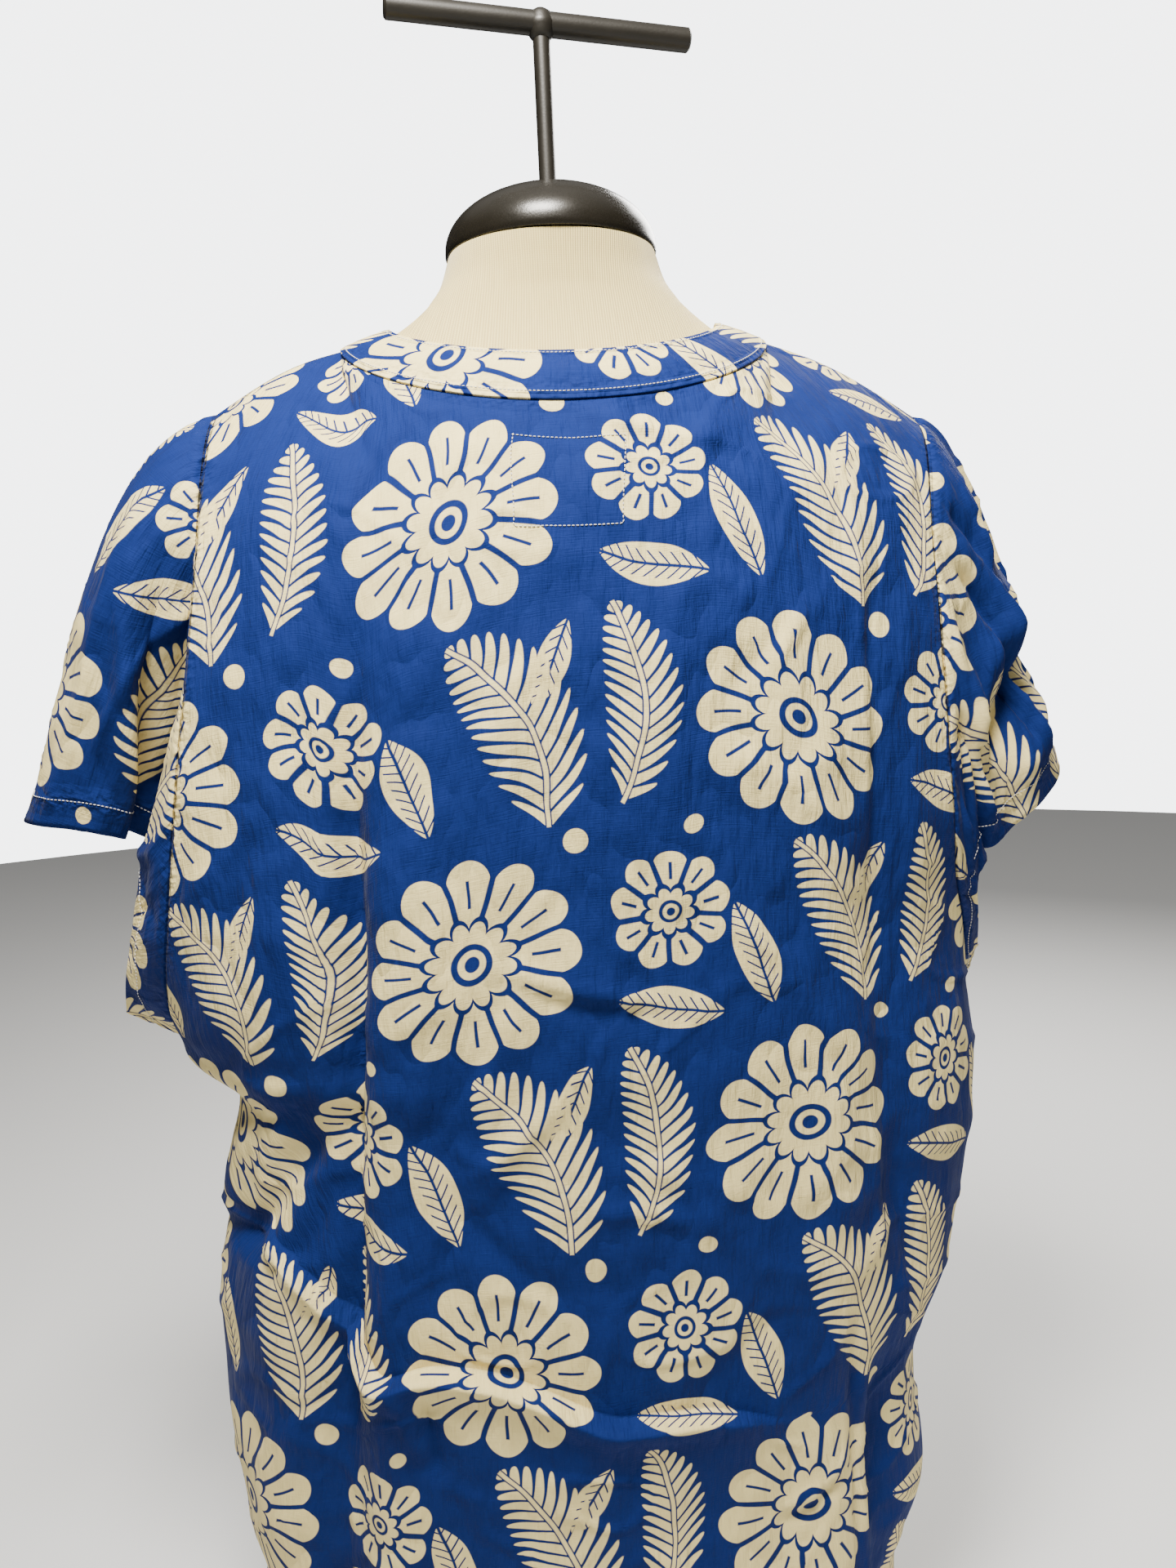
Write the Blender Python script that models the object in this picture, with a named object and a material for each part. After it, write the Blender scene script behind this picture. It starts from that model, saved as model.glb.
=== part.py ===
"""Tunic top on a limbless dress form. Metres, +Z up. The garment's front faces -Y, its left side +X.

Heights are measured from the form's flat base. Cloth walls are built from a middle surface: each panel
has sections across it, from one side edge to the other, and columns that run down from its top edge.
"""

import math
from typing import NamedTuple

import bmesh
import bpy
import numpy as np

# Cloth
WALL = 0.0014
BAND_WALLS = (WALL, 0.0026, 0.0024)
SEAM_GAP = 0.0005
BAND_GAP = 0.0009
REST_GAP = 0.0010

# Heights of the panels' zones
BLADE_HEIGHT = 0.745
UNDERARM_HEIGHT = 0.472
TAIL_HEIGHT = 0.160
SLIT_HEIGHT = 0.108
HEM_HEIGHT = 0.042
TAIL_SHARE = 0.62

# Grid sizes
PANEL_COLUMNS = 28
ROWS_SHOULDER = 8
ROWS_ARMHOLE = 11
ROWS_SIDE = 15
ROWS_TAIL = 4
SLEEVE_RINGS = 8
ARMHOLE_ROW_POWER = 1.15
JOIN_ROUNDS = 12

# Neck: the panels' neck edge is an oval, and so is the band's free edge
BODY_CENTRE_X = 0.008
NECK_SHARE = 0.46
NECK_HALF = 0.121
NECK_SIDE_HEIGHT = 0.869
NECK_BACK_DEPTH = 0.082
NECK_BACK_HEIGHT = 0.824
NECK_FRONT_DEPTH = 0.096
NECK_FRONT_HEIGHT = 0.796
BAND_HALF = 0.094
BAND_SIDE_HEIGHT = 0.8800
BAND_BACK_DEPTH = 0.066
BAND_BACK_HEIGHT = 0.8515
BAND_FRONT_DEPTH = 0.078
BAND_FRONT_HEIGHT = 0.822
# The band bellies out by this much along its middle, in a way that leans upwards by the rise
BAND_BELLY = 0.0016
BAND_RISE = 0.045

# Shoulder seams end behind the ridge, at the top of the armholes
SEAM_END_BACK = 0.022
SEAM_END_LEFT = (0.200, 0.8280)
SEAM_END_RIGHT = (0.199, 0.8170)
SHOULDER_CROWN = 0.006
FRONT_SEAM_SHARE = 0.85
DIP_POWER = 1.15
SECTION_BOXINESS = 0.9
# How steeply the cloth leaves the top edge, in degrees: at the neck's middle, its side, the armhole
BACK_PITCHES = (58.0, 34.0, 26.0)
FRONT_PITCHES = (52.0, 12.0, -44.0)
# How far the cloth holds its way: off the top edge on each side, and into the blades, in drops
BACK_PULL = 1.15
FRONT_PULL = 1.35
BLADE_PULL = 1.25
BLADE_STEP = 0.01

# Neck cap and hanger
CAP_RADIUS = 0.0605
CAP_RIM_HEIGHT = 0.917
CAP_TOP_HEIGHT = 0.955
CAP_WALL_DROP = 0.004
CAP_EDGE = 0.0010
CAP_SIDES = 32
CAP_STEPS = 7
ROD_RADIUS = 0.0049
BAR_RADIUS = 0.0065
BAR_LENGTH = 0.175
BAR_HEIGHT = 1.0445
BAR_TILT = math.radians(2.0)
BAR_YAW = math.radians(8.0)
WELD_RADIUS = 0.0082
STUD_RADIUS = 0.0078
STUD_HEIGHT = 0.0030
ROD_GAP = 0.0003
WELD_DROP = 0.0010
SHARP_ANGLE = math.radians(50)


class Section(NamedTuple):
    """A level cut through the body: reaches to the left and right edges, depths at the middle, the depth
    of the armhole or side seam on each side, and how far round the cut turns by its edges, in degrees."""

    height: float
    left: float
    right: float
    back: float
    front: float
    seam_left: float
    seam_right: float
    turn: float


class Drape(NamedTuple):
    """A soft ridge (depth over 0) or trough (under 0) down a panel, from its top to its foot."""

    top_x: float
    top_height: float
    foot_x: float
    foot_height: float
    width: float
    depth: float


class Ledge(NamedTuple):
    """A point of the shelf where the cloth folds out over the lower back."""

    x: float
    height: float
    step: float


class HemPoint(NamedTuple):
    """A point of a sleeve's hem: its share of the way from the top to the underarm, and its place."""

    share: float
    reach: float
    depth: float
    height: float


class Lift(NamedTuple):
    """How far a sleeve stands out between seam and hem, at a share of the armhole, and which way."""

    share: float
    amount: float
    swing: float


class FormSection(NamedTuple):
    """A level cut through the torso form, an oval."""

    height: float
    half: float
    back: float
    front: float


BODY = (
    Section(0.745, 0.208, 0.193, 0.110, 0.106, 0.064, 0.062, 50.0),
    Section(0.700, 0.214, 0.194, 0.115, 0.118, 0.070, 0.069, 50.0),
    Section(0.650, 0.222, 0.197, 0.118, 0.130, 0.072, 0.071, 51.0),
    Section(0.600, 0.230, 0.201, 0.119, 0.135, 0.070, 0.069, 54.0),
    Section(0.555, 0.238, 0.208, 0.120, 0.136, 0.062, 0.054, 62.0),
    Section(0.520, 0.245, 0.221, 0.121, 0.136, 0.048, 0.032, 72.0),
    Section(0.490, 0.249, 0.229, 0.121, 0.135, 0.026, 0.014, 82.0),
    Section(0.472, 0.248, 0.232, 0.121, 0.135, 0.000, 0.000, 90.0),
    Section(0.444, 0.219, 0.234, 0.121, 0.134, 0.000, 0.000, 90.0),
    Section(0.388, 0.226, 0.229, 0.121, 0.133, 0.000, 0.000, 90.0),
    Section(0.314, 0.239, 0.215, 0.121, 0.132, 0.000, 0.000, 90.0),
    Section(0.243, 0.238, 0.191, 0.123, 0.132, 0.000, 0.000, 90.0),
    Section(0.170, 0.230, 0.196, 0.124, 0.131, 0.000, 0.000, 90.0),
    Section(0.108, 0.221, 0.179, 0.123, 0.130, 0.000, 0.000, 90.0),
    Section(0.042, 0.217, 0.176, 0.121, 0.128, 0.000, 0.000, 90.0),
)
BACK_DRAPES = (
    Drape(0.128, 0.760, 0.172, 0.060, 0.016, -0.010),
    Drape(0.098, 0.740, 0.140, 0.060, 0.022, 0.007),
    Drape(0.172, 0.700, 0.206, 0.080, 0.018, 0.005),
    Drape(-0.150, 0.780, -0.158, 0.360, 0.018, -0.006),
    Drape(-0.148, 0.300, -0.150, 0.060, 0.014, -0.010),
    Drape(-0.118, 0.640, -0.116, 0.080, 0.022, 0.005),
    Drape(0.158, 0.452, 0.212, 0.366, 0.012, -0.010),
    Drape(0.196, 0.446, 0.232, 0.372, 0.012, 0.006),
)
FRONT_DRAPES = (
    Drape(0.136, 0.720, 0.162, 0.060, 0.018, -0.009),
    Drape(0.104, 0.640, 0.126, 0.060, 0.024, 0.007),
    Drape(0.046, 0.520, 0.052, 0.060, 0.022, -0.005),
    Drape(-0.030, 0.560, -0.044, 0.060, 0.026, 0.006),
    Drape(-0.092, 0.660, -0.100, 0.060, 0.018, -0.007),
    Drape(-0.140, 0.740, -0.158, 0.060, 0.020, 0.006),
)
BACK_LEDGE = (
    Ledge(0.200, 0.385, 0.000),
    Ledge(0.178, 0.364, 0.009),
    Ledge(0.150, 0.330, 0.012),
    Ledge(0.129, 0.310, 0.012),
    Ledge(0.107, 0.316, 0.012),
    Ledge(0.060, 0.305, 0.012),
    Ledge(0.008, 0.281, 0.012),
    Ledge(-0.045, 0.276, 0.010),
    Ledge(-0.085, 0.262, 0.000),
)
LEDGE_RISE = 0.014
LEDGE_FALL = 0.055
# Shares of a drape's length over which it starts, ends, and how far past its foot it dies out
DRAPE_START = 0.35
DRAPE_END = 0.2
DRAPE_REACH = 1.12
# Folds die out over this share of the half panel, next to its side edges
FOLD_MARGIN = 0.1

LEFT_HEM_BACK = (
    HemPoint(0.00, 0.329, 0.000, 0.612),
    HemPoint(0.14, 0.322, 0.022, 0.611),
    HemPoint(0.28, 0.301, 0.036, 0.609),
    HemPoint(0.38, 0.279, 0.037, 0.605),
    HemPoint(0.45, 0.268, 0.020, 0.600),
    HemPoint(0.53, 0.259, 0.000, 0.592),
    HemPoint(0.61, 0.260, 0.022, 0.577),
    HemPoint(0.72, 0.264, 0.028, 0.555),
    HemPoint(0.86, 0.274, 0.020, 0.523),
    HemPoint(1.00, 0.283, 0.000, 0.491),
)
LEFT_HEM_FRONT = (
    HemPoint(0.00, 0.329, 0.000, 0.612),
    HemPoint(0.18, 0.320, -0.026, 0.613),
    HemPoint(0.34, 0.300, -0.044, 0.612),
    HemPoint(0.50, 0.276, -0.052, 0.604),
    HemPoint(0.63, 0.262, -0.048, 0.582),
    HemPoint(0.81, 0.266, -0.030, 0.540),
    HemPoint(1.00, 0.283, 0.000, 0.491),
)
RIGHT_HEM_BACK = (
    HemPoint(0.00, 0.295, 0.000, 0.616),
    HemPoint(0.16, 0.284, 0.022, 0.600),
    HemPoint(0.34, 0.257, 0.034, 0.581),
    HemPoint(0.52, 0.236, 0.044, 0.565),
    HemPoint(0.68, 0.227, 0.040, 0.547),
    HemPoint(0.85, 0.236, 0.020, 0.521),
    HemPoint(1.00, 0.244, 0.000, 0.497),
)
RIGHT_HEM_FRONT = (
    HemPoint(0.00, 0.295, 0.000, 0.616),
    HemPoint(0.25, 0.279, -0.030, 0.609),
    HemPoint(0.50, 0.251, -0.052, 0.589),
    HemPoint(0.75, 0.238, -0.042, 0.545),
    HemPoint(1.00, 0.244, 0.000, 0.497),
)
LEFT_BACK_LIFTS = (
    Lift(0.00, 0.098, 0.0),
    Lift(0.10, 0.074, 38.0),
    Lift(0.17, 0.036, 60.0),
    Lift(0.25, -0.026, 78.0),
    Lift(0.33, -0.036, 84.0),
    Lift(0.44, 0.020, 76.0),
    Lift(0.70, 0.018, 60.0),
    Lift(1.00, 0.008, 20.0),
)
RIGHT_BACK_LIFTS = (
    Lift(0.00, 0.046, 0.0),
    Lift(0.12, 0.050, 40.0),
    Lift(0.24, 0.016, 70.0),
    Lift(0.36, 0.040, 70.0),
    Lift(0.52, 0.010, 70.0),
    Lift(0.75, 0.016, 60.0),
    Lift(1.00, 0.008, 20.0),
)
FRONT_LIFTS = (
    Lift(0.00, 0.072, 0.0),
    Lift(0.15, 0.060, -40.0),
    Lift(0.40, 0.036, -64.0),
    Lift(0.70, 0.022, -60.0),
    Lift(1.00, 0.008, -20.0),
)
# Share of the armhole, then of the hem, that the same line of the sleeve meets
LEFT_BACK_LINES = ((0.0, 0.12, 0.20, 0.30, 0.42, 1.0), (0.0, 0.30, 0.41, 0.53, 0.62, 1.0))
PLAIN_LINES = ((0.0, 0.20, 0.50, 1.0), (0.0, 0.26, 0.56, 1.0))
# A sleeve's lift swells from the seam and falls off towards the hem; it also leans upwards
SWELL_POWER = 0.6
LEFT_FALL = 1.5
RIGHT_FALL = 2.2
LIFT_LEAN = 0.55

# The form from its base up to the shoulder blades, and its bare neck
FORM = (
    FormSection(0.000, 0.164, 0.090, 0.096),
    FormSection(0.060, 0.169, 0.094, 0.100),
    FormSection(0.200, 0.174, 0.099, 0.106),
    FormSection(0.300, 0.171, 0.097, 0.105),
    FormSection(0.400, 0.159, 0.090, 0.101),
    FormSection(0.480, 0.148, 0.084, 0.098),
    FormSection(0.560, 0.156, 0.092, 0.108),
    FormSection(0.640, 0.174, 0.102, 0.120),
    FormSection(0.700, 0.190, 0.104, 0.106),
)
FORM_NECK = (
    FormSection(0.8880, 0.0740, 0.0560, 0.0590),
    FormSection(0.9000, 0.0650, 0.0565, 0.0580),
    FormSection(0.9165, 0.0592, 0.0585, 0.0585),
)
FORM_BOXINESS = 0.92
# Room that opens under the cloth from the shoulder seam down to the blades
FORM_ROOM = 0.0080
FORM_TURN = math.radians(80)
FORM_ROOM_POWER = 1.6


def smooth(stations, values, at):
    """A smooth curve through the values, with no overshoot, read at the given places."""
    xs = np.asarray(stations, float)
    ys = np.asarray(values, float)
    if xs[0] > xs[-1]:
        xs, ys = xs[::-1], ys[::-1]
    steps = np.diff(xs)
    slopes = np.diff(ys) / steps
    tangents = np.zeros_like(ys)
    same_way = slopes[:-1] * slopes[1:] > 0
    safe = np.where(same_way, slopes[:-1] * slopes[1:], 1.0)
    harmonic = 2 * safe / np.where(same_way, slopes[:-1] + slopes[1:], 1.0)
    tangents[1:-1] = np.where(same_way, harmonic, 0.0)
    tangents[0], tangents[-1] = slopes[0], slopes[-1]
    at = np.clip(np.asarray(at, float), xs[0], xs[-1])
    i = np.clip(np.searchsorted(xs, at, side="right") - 1, 0, len(steps) - 1)
    f = (at - xs[i]) / steps[i]
    start = (1 + 2 * f) * (1 - f) ** 2 * ys[i] + f * (1 - f) ** 2 * steps[i] * tangents[i]
    end = f * f * (3 - 2 * f) * ys[i + 1] + f * f * (f - 1) * steps[i] * tangents[i + 1]
    return start + end


def column(table, name, at, key="height"):
    """One named column of a table, read smoothly at the given places."""
    return smooth([getattr(row, key) for row in table], [getattr(row, name) for row in table], at)


def ease(x):
    """0 below 0, 1 above 1, and a soft step between."""
    x = np.clip(x, 0.0, 1.0)
    return x * x * (3 - 2 * x)


def hermite(start, start_way, end, end_way, f):
    """Curves from start to end that leave along start_way and arrive along end_way."""
    f = f[..., None]
    return (
        (1 + 2 * f) * (1 - f) ** 2 * start
        + f * (1 - f) ** 2 * start_way
        + f * f * (3 - 2 * f) * end
        + f * f * (f - 1) * end_way
    )


def edge_reach(across, height, side):
    """The reach and seam depth of the panel's edge on the side that across points to."""
    left = across > 0
    reach = np.where(left, column(BODY, "left", height), column(BODY, "right", height))
    seam = np.where(left, column(BODY, "seam_left", height), column(BODY, "seam_right", height))
    return reach, seam * (1.0 if side > 0 else FRONT_SEAM_SHARE)


def section_point(side, across, height):
    """The panel's middle surface, without its folds, at a place across (-1 to 1) and a height."""
    reach, seam = edge_reach(across, height, side)
    depth = column(BODY, "back" if side > 0 else "front", height)
    turn = np.radians(column(BODY, "turn", height))
    angle = turn * across
    span = np.sin(angle) / np.sin(turn)
    rise = (np.cos(angle) - np.cos(turn)) / (1 - np.cos(turn))
    half = reach - BODY_CENTRE_X * np.sign(across)
    x = BODY_CENTRE_X + half * span
    y = side * (seam + (depth - seam) * np.clip(rise, 0.0, 1.0) ** SECTION_BOXINESS)
    return np.stack([x, y, height + 0 * x], axis=-1)


def neck_edge(side, across):
    """The panel's neck edge, an oval in plan that dips towards its middle."""
    angle = np.clip(across / NECK_SHARE, -1, 1) * math.pi / 2
    depth, height = (
        (NECK_BACK_DEPTH, NECK_BACK_HEIGHT) if side > 0 else (NECK_FRONT_DEPTH, NECK_FRONT_HEIGHT)
    )
    dip = np.cos(angle) ** DIP_POWER
    return np.stack(
        [
            BODY_CENTRE_X + NECK_HALF * np.sin(angle),
            side * depth * np.cos(angle),
            NECK_SIDE_HEIGHT + (height - NECK_SIDE_HEIGHT) * dip,
        ],
        axis=-1,
    )


def shoulder_edge(across):
    """The shoulder seam, from the neck's side to the top of the armhole."""
    share = np.clip((np.abs(across) - NECK_SHARE) / (1 - NECK_SHARE), 0.0, 1.0)
    left = across > 0
    end_x = np.where(left, SEAM_END_LEFT[0], -SEAM_END_RIGHT[0])
    end_z = np.where(left, SEAM_END_LEFT[1], SEAM_END_RIGHT[1])
    start_x = BODY_CENTRE_X + NECK_HALF * np.sign(across)
    return np.stack(
        [
            start_x + (end_x - start_x) * share,
            SEAM_END_BACK * share,
            NECK_SIDE_HEIGHT + (end_z - NECK_SIDE_HEIGHT) * share + SHOULDER_CROWN * np.sin(math.pi * share),
        ],
        axis=-1,
    )


def top_edge(side, across):
    """The panel's top edge: neck in the middle and a shoulder seam on each side."""
    at_neck = (np.abs(across) <= NECK_SHARE)[..., None]
    return np.where(at_neck, neck_edge(side, across), shoulder_edge(across))


def shoulder_zone(side, across, share):
    """The part of a panel above the shoulder blades, from the top edge over the body's top."""
    start = top_edge(side, across)
    end = section_point(side, across, BLADE_HEIGHT + 0 * across)
    below = section_point(side, across, BLADE_HEIGHT - BLADE_STEP + 0 * across)
    drop = start[..., 2] - end[..., 2]
    pitches = BACK_PITCHES if side > 0 else FRONT_PITCHES
    pitch = np.radians(smooth((0.0, NECK_SHARE, 1.0), pitches, np.abs(across)))
    length = drop * (BACK_PULL if side > 0 else FRONT_PULL)
    start_way = np.stack(
        [0 * across, side * length * np.cos(pitch), -length * np.sin(pitch)], axis=-1
    )
    end_way = (below - end) / BLADE_STEP * (drop * BLADE_PULL)[..., None]
    return hermite(start, start_way, end, end_way, share)


def tail_height(across):
    """The height of the shirt-tail hem: low in the middle, and curved up to the side slits."""
    share = np.clip((np.abs(across) - TAIL_SHARE) / (1 - TAIL_SHARE), 0.0, 1.0)
    return HEM_HEIGHT + (SLIT_HEIGHT - HEM_HEIGHT) * (1 - np.sqrt(np.clip(1 - share**2, 0.0, 1.0)))


def fold_push(side, x, height):
    """How far the panel's folds push it out at a place."""
    push = np.zeros_like(x)
    for drape in BACK_DRAPES if side > 0 else FRONT_DRAPES:
        length = drape.top_height - drape.foot_height
        down = (drape.top_height - height) / length
        line = drape.top_x + (drape.foot_x - drape.top_x) * np.clip(down, 0.0, 1.0)
        fade = ease(down / DRAPE_START) * ease((DRAPE_REACH - down) / DRAPE_END)
        push += drape.depth * fade * np.exp(-(((x - line) / drape.width) ** 2))
    if side > 0:
        edge = column(BACK_LEDGE, "height", x, "x")
        step = column(BACK_LEDGE, "step", x, "x")
        below = edge - height
        push += step * ease((below + LEDGE_RISE / 2) / LEDGE_RISE) * np.exp(
            -np.clip(below, 0.0, None) / LEDGE_FALL
        )
    return push


def panel_rows():
    """The panel's rows from top to hem: the zone that each lies in, and its share of that zone."""
    rows = [(0, i / ROWS_SHOULDER) for i in range(ROWS_SHOULDER)]
    rows += [(1, math.sin(i / ROWS_ARMHOLE * math.pi / 2) ** ARMHOLE_ROW_POWER) for i in range(ROWS_ARMHOLE)]
    rows += [(2, i / ROWS_SIDE) for i in range(ROWS_SIDE)]
    rows += [(3, i / ROWS_TAIL) for i in range(ROWS_TAIL + 1)]
    return rows


UNDERARM_ROW = ROWS_SHOULDER + ROWS_ARMHOLE


def panel_grid(side, across):
    """The middle surface of the back (side 1) or the front (side -1), rows by columns."""
    rows = []
    for zone, share in panel_rows():
        if zone == 0:
            points = shoulder_zone(side, across, share + 0 * across)
        else:
            top = (BLADE_HEIGHT, UNDERARM_HEIGHT, TAIL_HEIGHT)[zone - 1]
            foot = (UNDERARM_HEIGHT, TAIL_HEIGHT, tail_height(across))[zone - 1]
            points = section_point(side, across, top + (foot - top) * share + 0 * across)
        turn = np.radians(column(BODY, "turn", points[:, 2]))
        push = fold_push(side, points[:, 0], points[:, 2]) * ease((1 - np.abs(across)) / FOLD_MARGIN)
        points[:, 0] += push * np.sin(turn * across)
        points[:, 1] += side * push * np.cos(turn * across)
        rows.append(points)
    return np.array(rows)


def shares_along(points):
    """Each point's share of the length of its line."""
    lengths = np.linalg.norm(np.diff(points, axis=0), axis=1)
    return np.concatenate([[0.0], np.cumsum(lengths)]) / lengths.sum()


def hem_line(table, side, share):
    """Points of a sleeve's hem, read smoothly from its table."""
    return np.stack(
        [
            side * column(table, "reach", share, "share"),
            column(table, "depth", share, "share"),
            column(table, "height", share, "share"),
        ],
        axis=-1,
    )


def sleeve_half(seam, side, hem_table, lifts, lines, fall):
    """Half a sleeve, from the top line to the underarm: rings by points. Ring 0 is the armhole seam."""
    share = shares_along(seam)
    hem = hem_line(hem_table, side, smooth(lines[0], lines[1], share))
    swing = np.radians(column(lifts, "swing", share, "share"))
    amount = column(lifts, "amount", share, "share")
    way = np.stack([side * np.cos(swing), np.sin(swing), LIFT_LEAN * np.cos(swing)], axis=-1)
    way /= np.linalg.norm(way, axis=-1, keepdims=True)
    rings = []
    for i in range(SLEEVE_RINGS + 1):
        f = i / SLEEVE_RINGS
        swell = f**SWELL_POWER * (1 - f) ** fall
        rings.append(seam * (1 - f) + hem * f + way * (amount * swell)[:, None])
    return np.array(rings)


def sleeve_grid(side, back, front):
    """A whole sleeve as rings by points. The ring runs down the back and up the front."""
    edge = -1 if side > 0 else 0
    back_seam = back[: UNDERARM_ROW + 1, edge]
    front_seam = front[: UNDERARM_ROW + 1, edge]
    left = side > 0
    back_half = sleeve_half(
        back_seam,
        side,
        LEFT_HEM_BACK if left else RIGHT_HEM_BACK,
        LEFT_BACK_LIFTS if left else RIGHT_BACK_LIFTS,
        LEFT_BACK_LINES if left else PLAIN_LINES,
        LEFT_FALL if left else RIGHT_FALL,
    )
    front_half = sleeve_half(
        front_seam,
        side,
        LEFT_HEM_FRONT if left else RIGHT_HEM_FRONT,
        FRONT_LIFTS,
        PLAIN_LINES,
        LEFT_FALL if left else RIGHT_FALL,
    )
    return np.concatenate([back_half, front_half[:, -2:0:-1]], axis=1)


def band_grid(back, front, neck_columns):
    """The neck band from the panels' neck edge to its free edge, as two lines round the neck."""
    back_edge = back[0, neck_columns]
    front_edge = front[0, neck_columns]
    low = np.concatenate([back_edge, front_edge[-2:0:-1]])
    angle = np.linspace(-math.pi / 2, math.pi / 2, len(back_edge))
    high = []
    for depth, height in (
        (BAND_BACK_DEPTH, BAND_BACK_HEIGHT),
        (-BAND_FRONT_DEPTH, BAND_FRONT_HEIGHT),
    ):
        dip = np.cos(angle) ** DIP_POWER
        high.append(
            np.stack(
                [
                    BODY_CENTRE_X + BAND_HALF * np.sin(angle),
                    depth * np.cos(angle),
                    BAND_SIDE_HEIGHT + (height - BAND_SIDE_HEIGHT) * dip,
                ],
                axis=-1,
            )
        )
    high = np.concatenate([high[0], high[1][-2:0:-1]])
    middle = (low + high) / 2
    outward = middle - [BODY_CENTRE_X, 0.0, 0.0]
    outward[:, 2] = BAND_RISE
    middle += BAND_BELLY * outward / np.linalg.norm(outward, axis=1, keepdims=True)
    return np.array([low, middle, high])


def unit(vectors):
    return vectors / np.linalg.norm(vectors, axis=-1, keepdims=True)


def grid_normals(grid, closed):
    """Normals of a grid, pointing to the side from which its rows run down and its columns run right."""
    if closed:
        along = np.roll(grid, -1, axis=1) - np.roll(grid, 1, axis=1)
    else:
        along = np.gradient(grid, axis=1)
    down = np.gradient(grid, axis=0)
    return unit(np.cross(along, down))


def join_normals(seams):
    """Gives both pieces of each seam one direction there, so that their cut edges lie face to face.
    Where three pieces meet, several rounds bring the three directions together."""
    for _ in range(JOIN_ROUNDS):
        for first, first_at, second, second_at in seams:
            shared = unit(first[first_at] + second[second_at])
            first[first_at] = shared
            second[second_at] = shared


def parted(grid, closed, gap=SEAM_GAP):
    """The grid drawn back by half the seam gap from its top edge and, on a panel, its side edges."""
    grid = grid.copy()
    grid[0] += unit(grid[1] - grid[0]) * gap / 2
    if not closed:
        for edge, inner in ((0, 1), (-1, -2)):
            grid[:, edge] += unit(grid[:, inner] - grid[:, edge]) * gap / 2
    return grid


def wall_mesh(name, grid, normals, thickness, closed):
    """A closed wall round a grid of middle points, with one thickness or one for each row."""
    rows, columns = grid.shape[:2]
    half = np.broadcast_to(np.asarray(thickness) / 2, rows)[:, None, None]
    outer = (grid + normals * half).reshape(-1, 3)
    inner = (grid - normals * half).reshape(-1, 3)
    count = rows * columns
    spans = columns if closed else columns - 1
    faces = []
    for i in range(rows - 1):
        for j in range(spans):
            k = (j + 1) % columns
            a, b = i * columns + j, i * columns + k
            c, d = a + columns, b + columns
            faces += [(a, c, b), (b, c, d)]
            faces += [(a + count, b + count, c + count), (b + count, d + count, c + count)]
    rim = [(j, (j + 1) % columns) for j in range(spans)]
    base = (rows - 1) * columns
    for j, k in rim:
        faces += [(j, k, k + count), (j, k + count, j + count)]
        faces += [(base + k, base + j, base + j + count), (base + k, base + j + count, base + k + count)]
    if not closed:
        for i in range(rows - 1):
            a, b = i * columns, (i + 1) * columns
            faces += [(b, a, a + count), (b, a + count, b + count)]
            a, b = a + columns - 1, b + columns - 1
            faces += [(a, b, b + count), (a, b + count, a + count)]
    return solid_object(name, np.concatenate([outer, inner]), faces)


def solid_object(name, points, faces):
    """An object from points and faces that all turn one way, with its faces pointing outwards."""
    mesh = bpy.data.meshes.new(name)
    mesh.from_pydata([tuple(p) for p in points], [], [tuple(int(i) for i in f) for f in faces])
    shape = bmesh.new()
    shape.from_mesh(mesh)
    if shape.calc_volume(signed=True) < 0:
        bmesh.ops.reverse_faces(shape, faces=shape.faces)
    shape.to_mesh(mesh)
    shape.free()
    mesh.shade_smooth()
    mesh.set_sharp_from_angle(angle=SHARP_ANGLE)
    obj = bpy.data.objects.new(name, mesh)
    bpy.context.scene.collection.objects.link(obj)
    return obj


def loft(name, rings):
    """A solid through closed rings of points, with flat caps at both ends."""
    sides = len(rings[0])
    faces = [tuple(reversed(range(sides))), tuple((len(rings) - 1) * sides + i for i in range(sides))]
    for i in range(len(rings) - 1):
        for j in range(sides):
            k = (j + 1) % sides
            a, b = i * sides + j, i * sides + k
            faces.append((a, b, b + sides, a + sides))
    return solid_object(name, np.concatenate(rings), faces)


def finish(obj, colour, roughness, metallic=0.0, sheen=0.0):
    """Gives the object its own material."""
    material = bpy.data.materials.new(obj.name + "_finish")
    material.use_nodes = True
    shader = material.node_tree.nodes["Principled BSDF"]
    shader.inputs["Base Color"].default_value = (*colour, 1.0)
    shader.inputs["Roughness"].default_value = roughness
    shader.inputs["Metallic"].default_value = metallic
    shader.inputs["Sheen Weight"].default_value = sheen
    material.diffuse_color = (*colour, 1.0)
    obj.data.materials.append(material)


def oval(row, angles):
    """Points round an oval section of the form."""
    across, along = np.cos(angles), np.sin(angles)
    x = row.half * np.sign(across) * np.abs(across) ** FORM_BOXINESS
    y = np.where(along > 0, row.back, row.front) * np.sign(along) * np.abs(along) ** FORM_BOXINESS
    return np.stack([BODY_CENTRE_X + x, y, row.height + 0 * x], axis=-1)


def grid_quads(shape, add_vertices, grid, closed):
    """Adds a grid of points to the shape as quads."""
    rows = [[add_vertices.new(point) for point in row] for row in grid]
    spans = len(rows[0]) if closed else len(rows[0]) - 1
    for upper, lower in zip(rows, rows[1:]):
        for j in range(spans):
            k = (j + 1) % len(upper)
            shape.faces.new((upper[j], lower[j], lower[k], upper[k]))
    return rows


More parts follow.
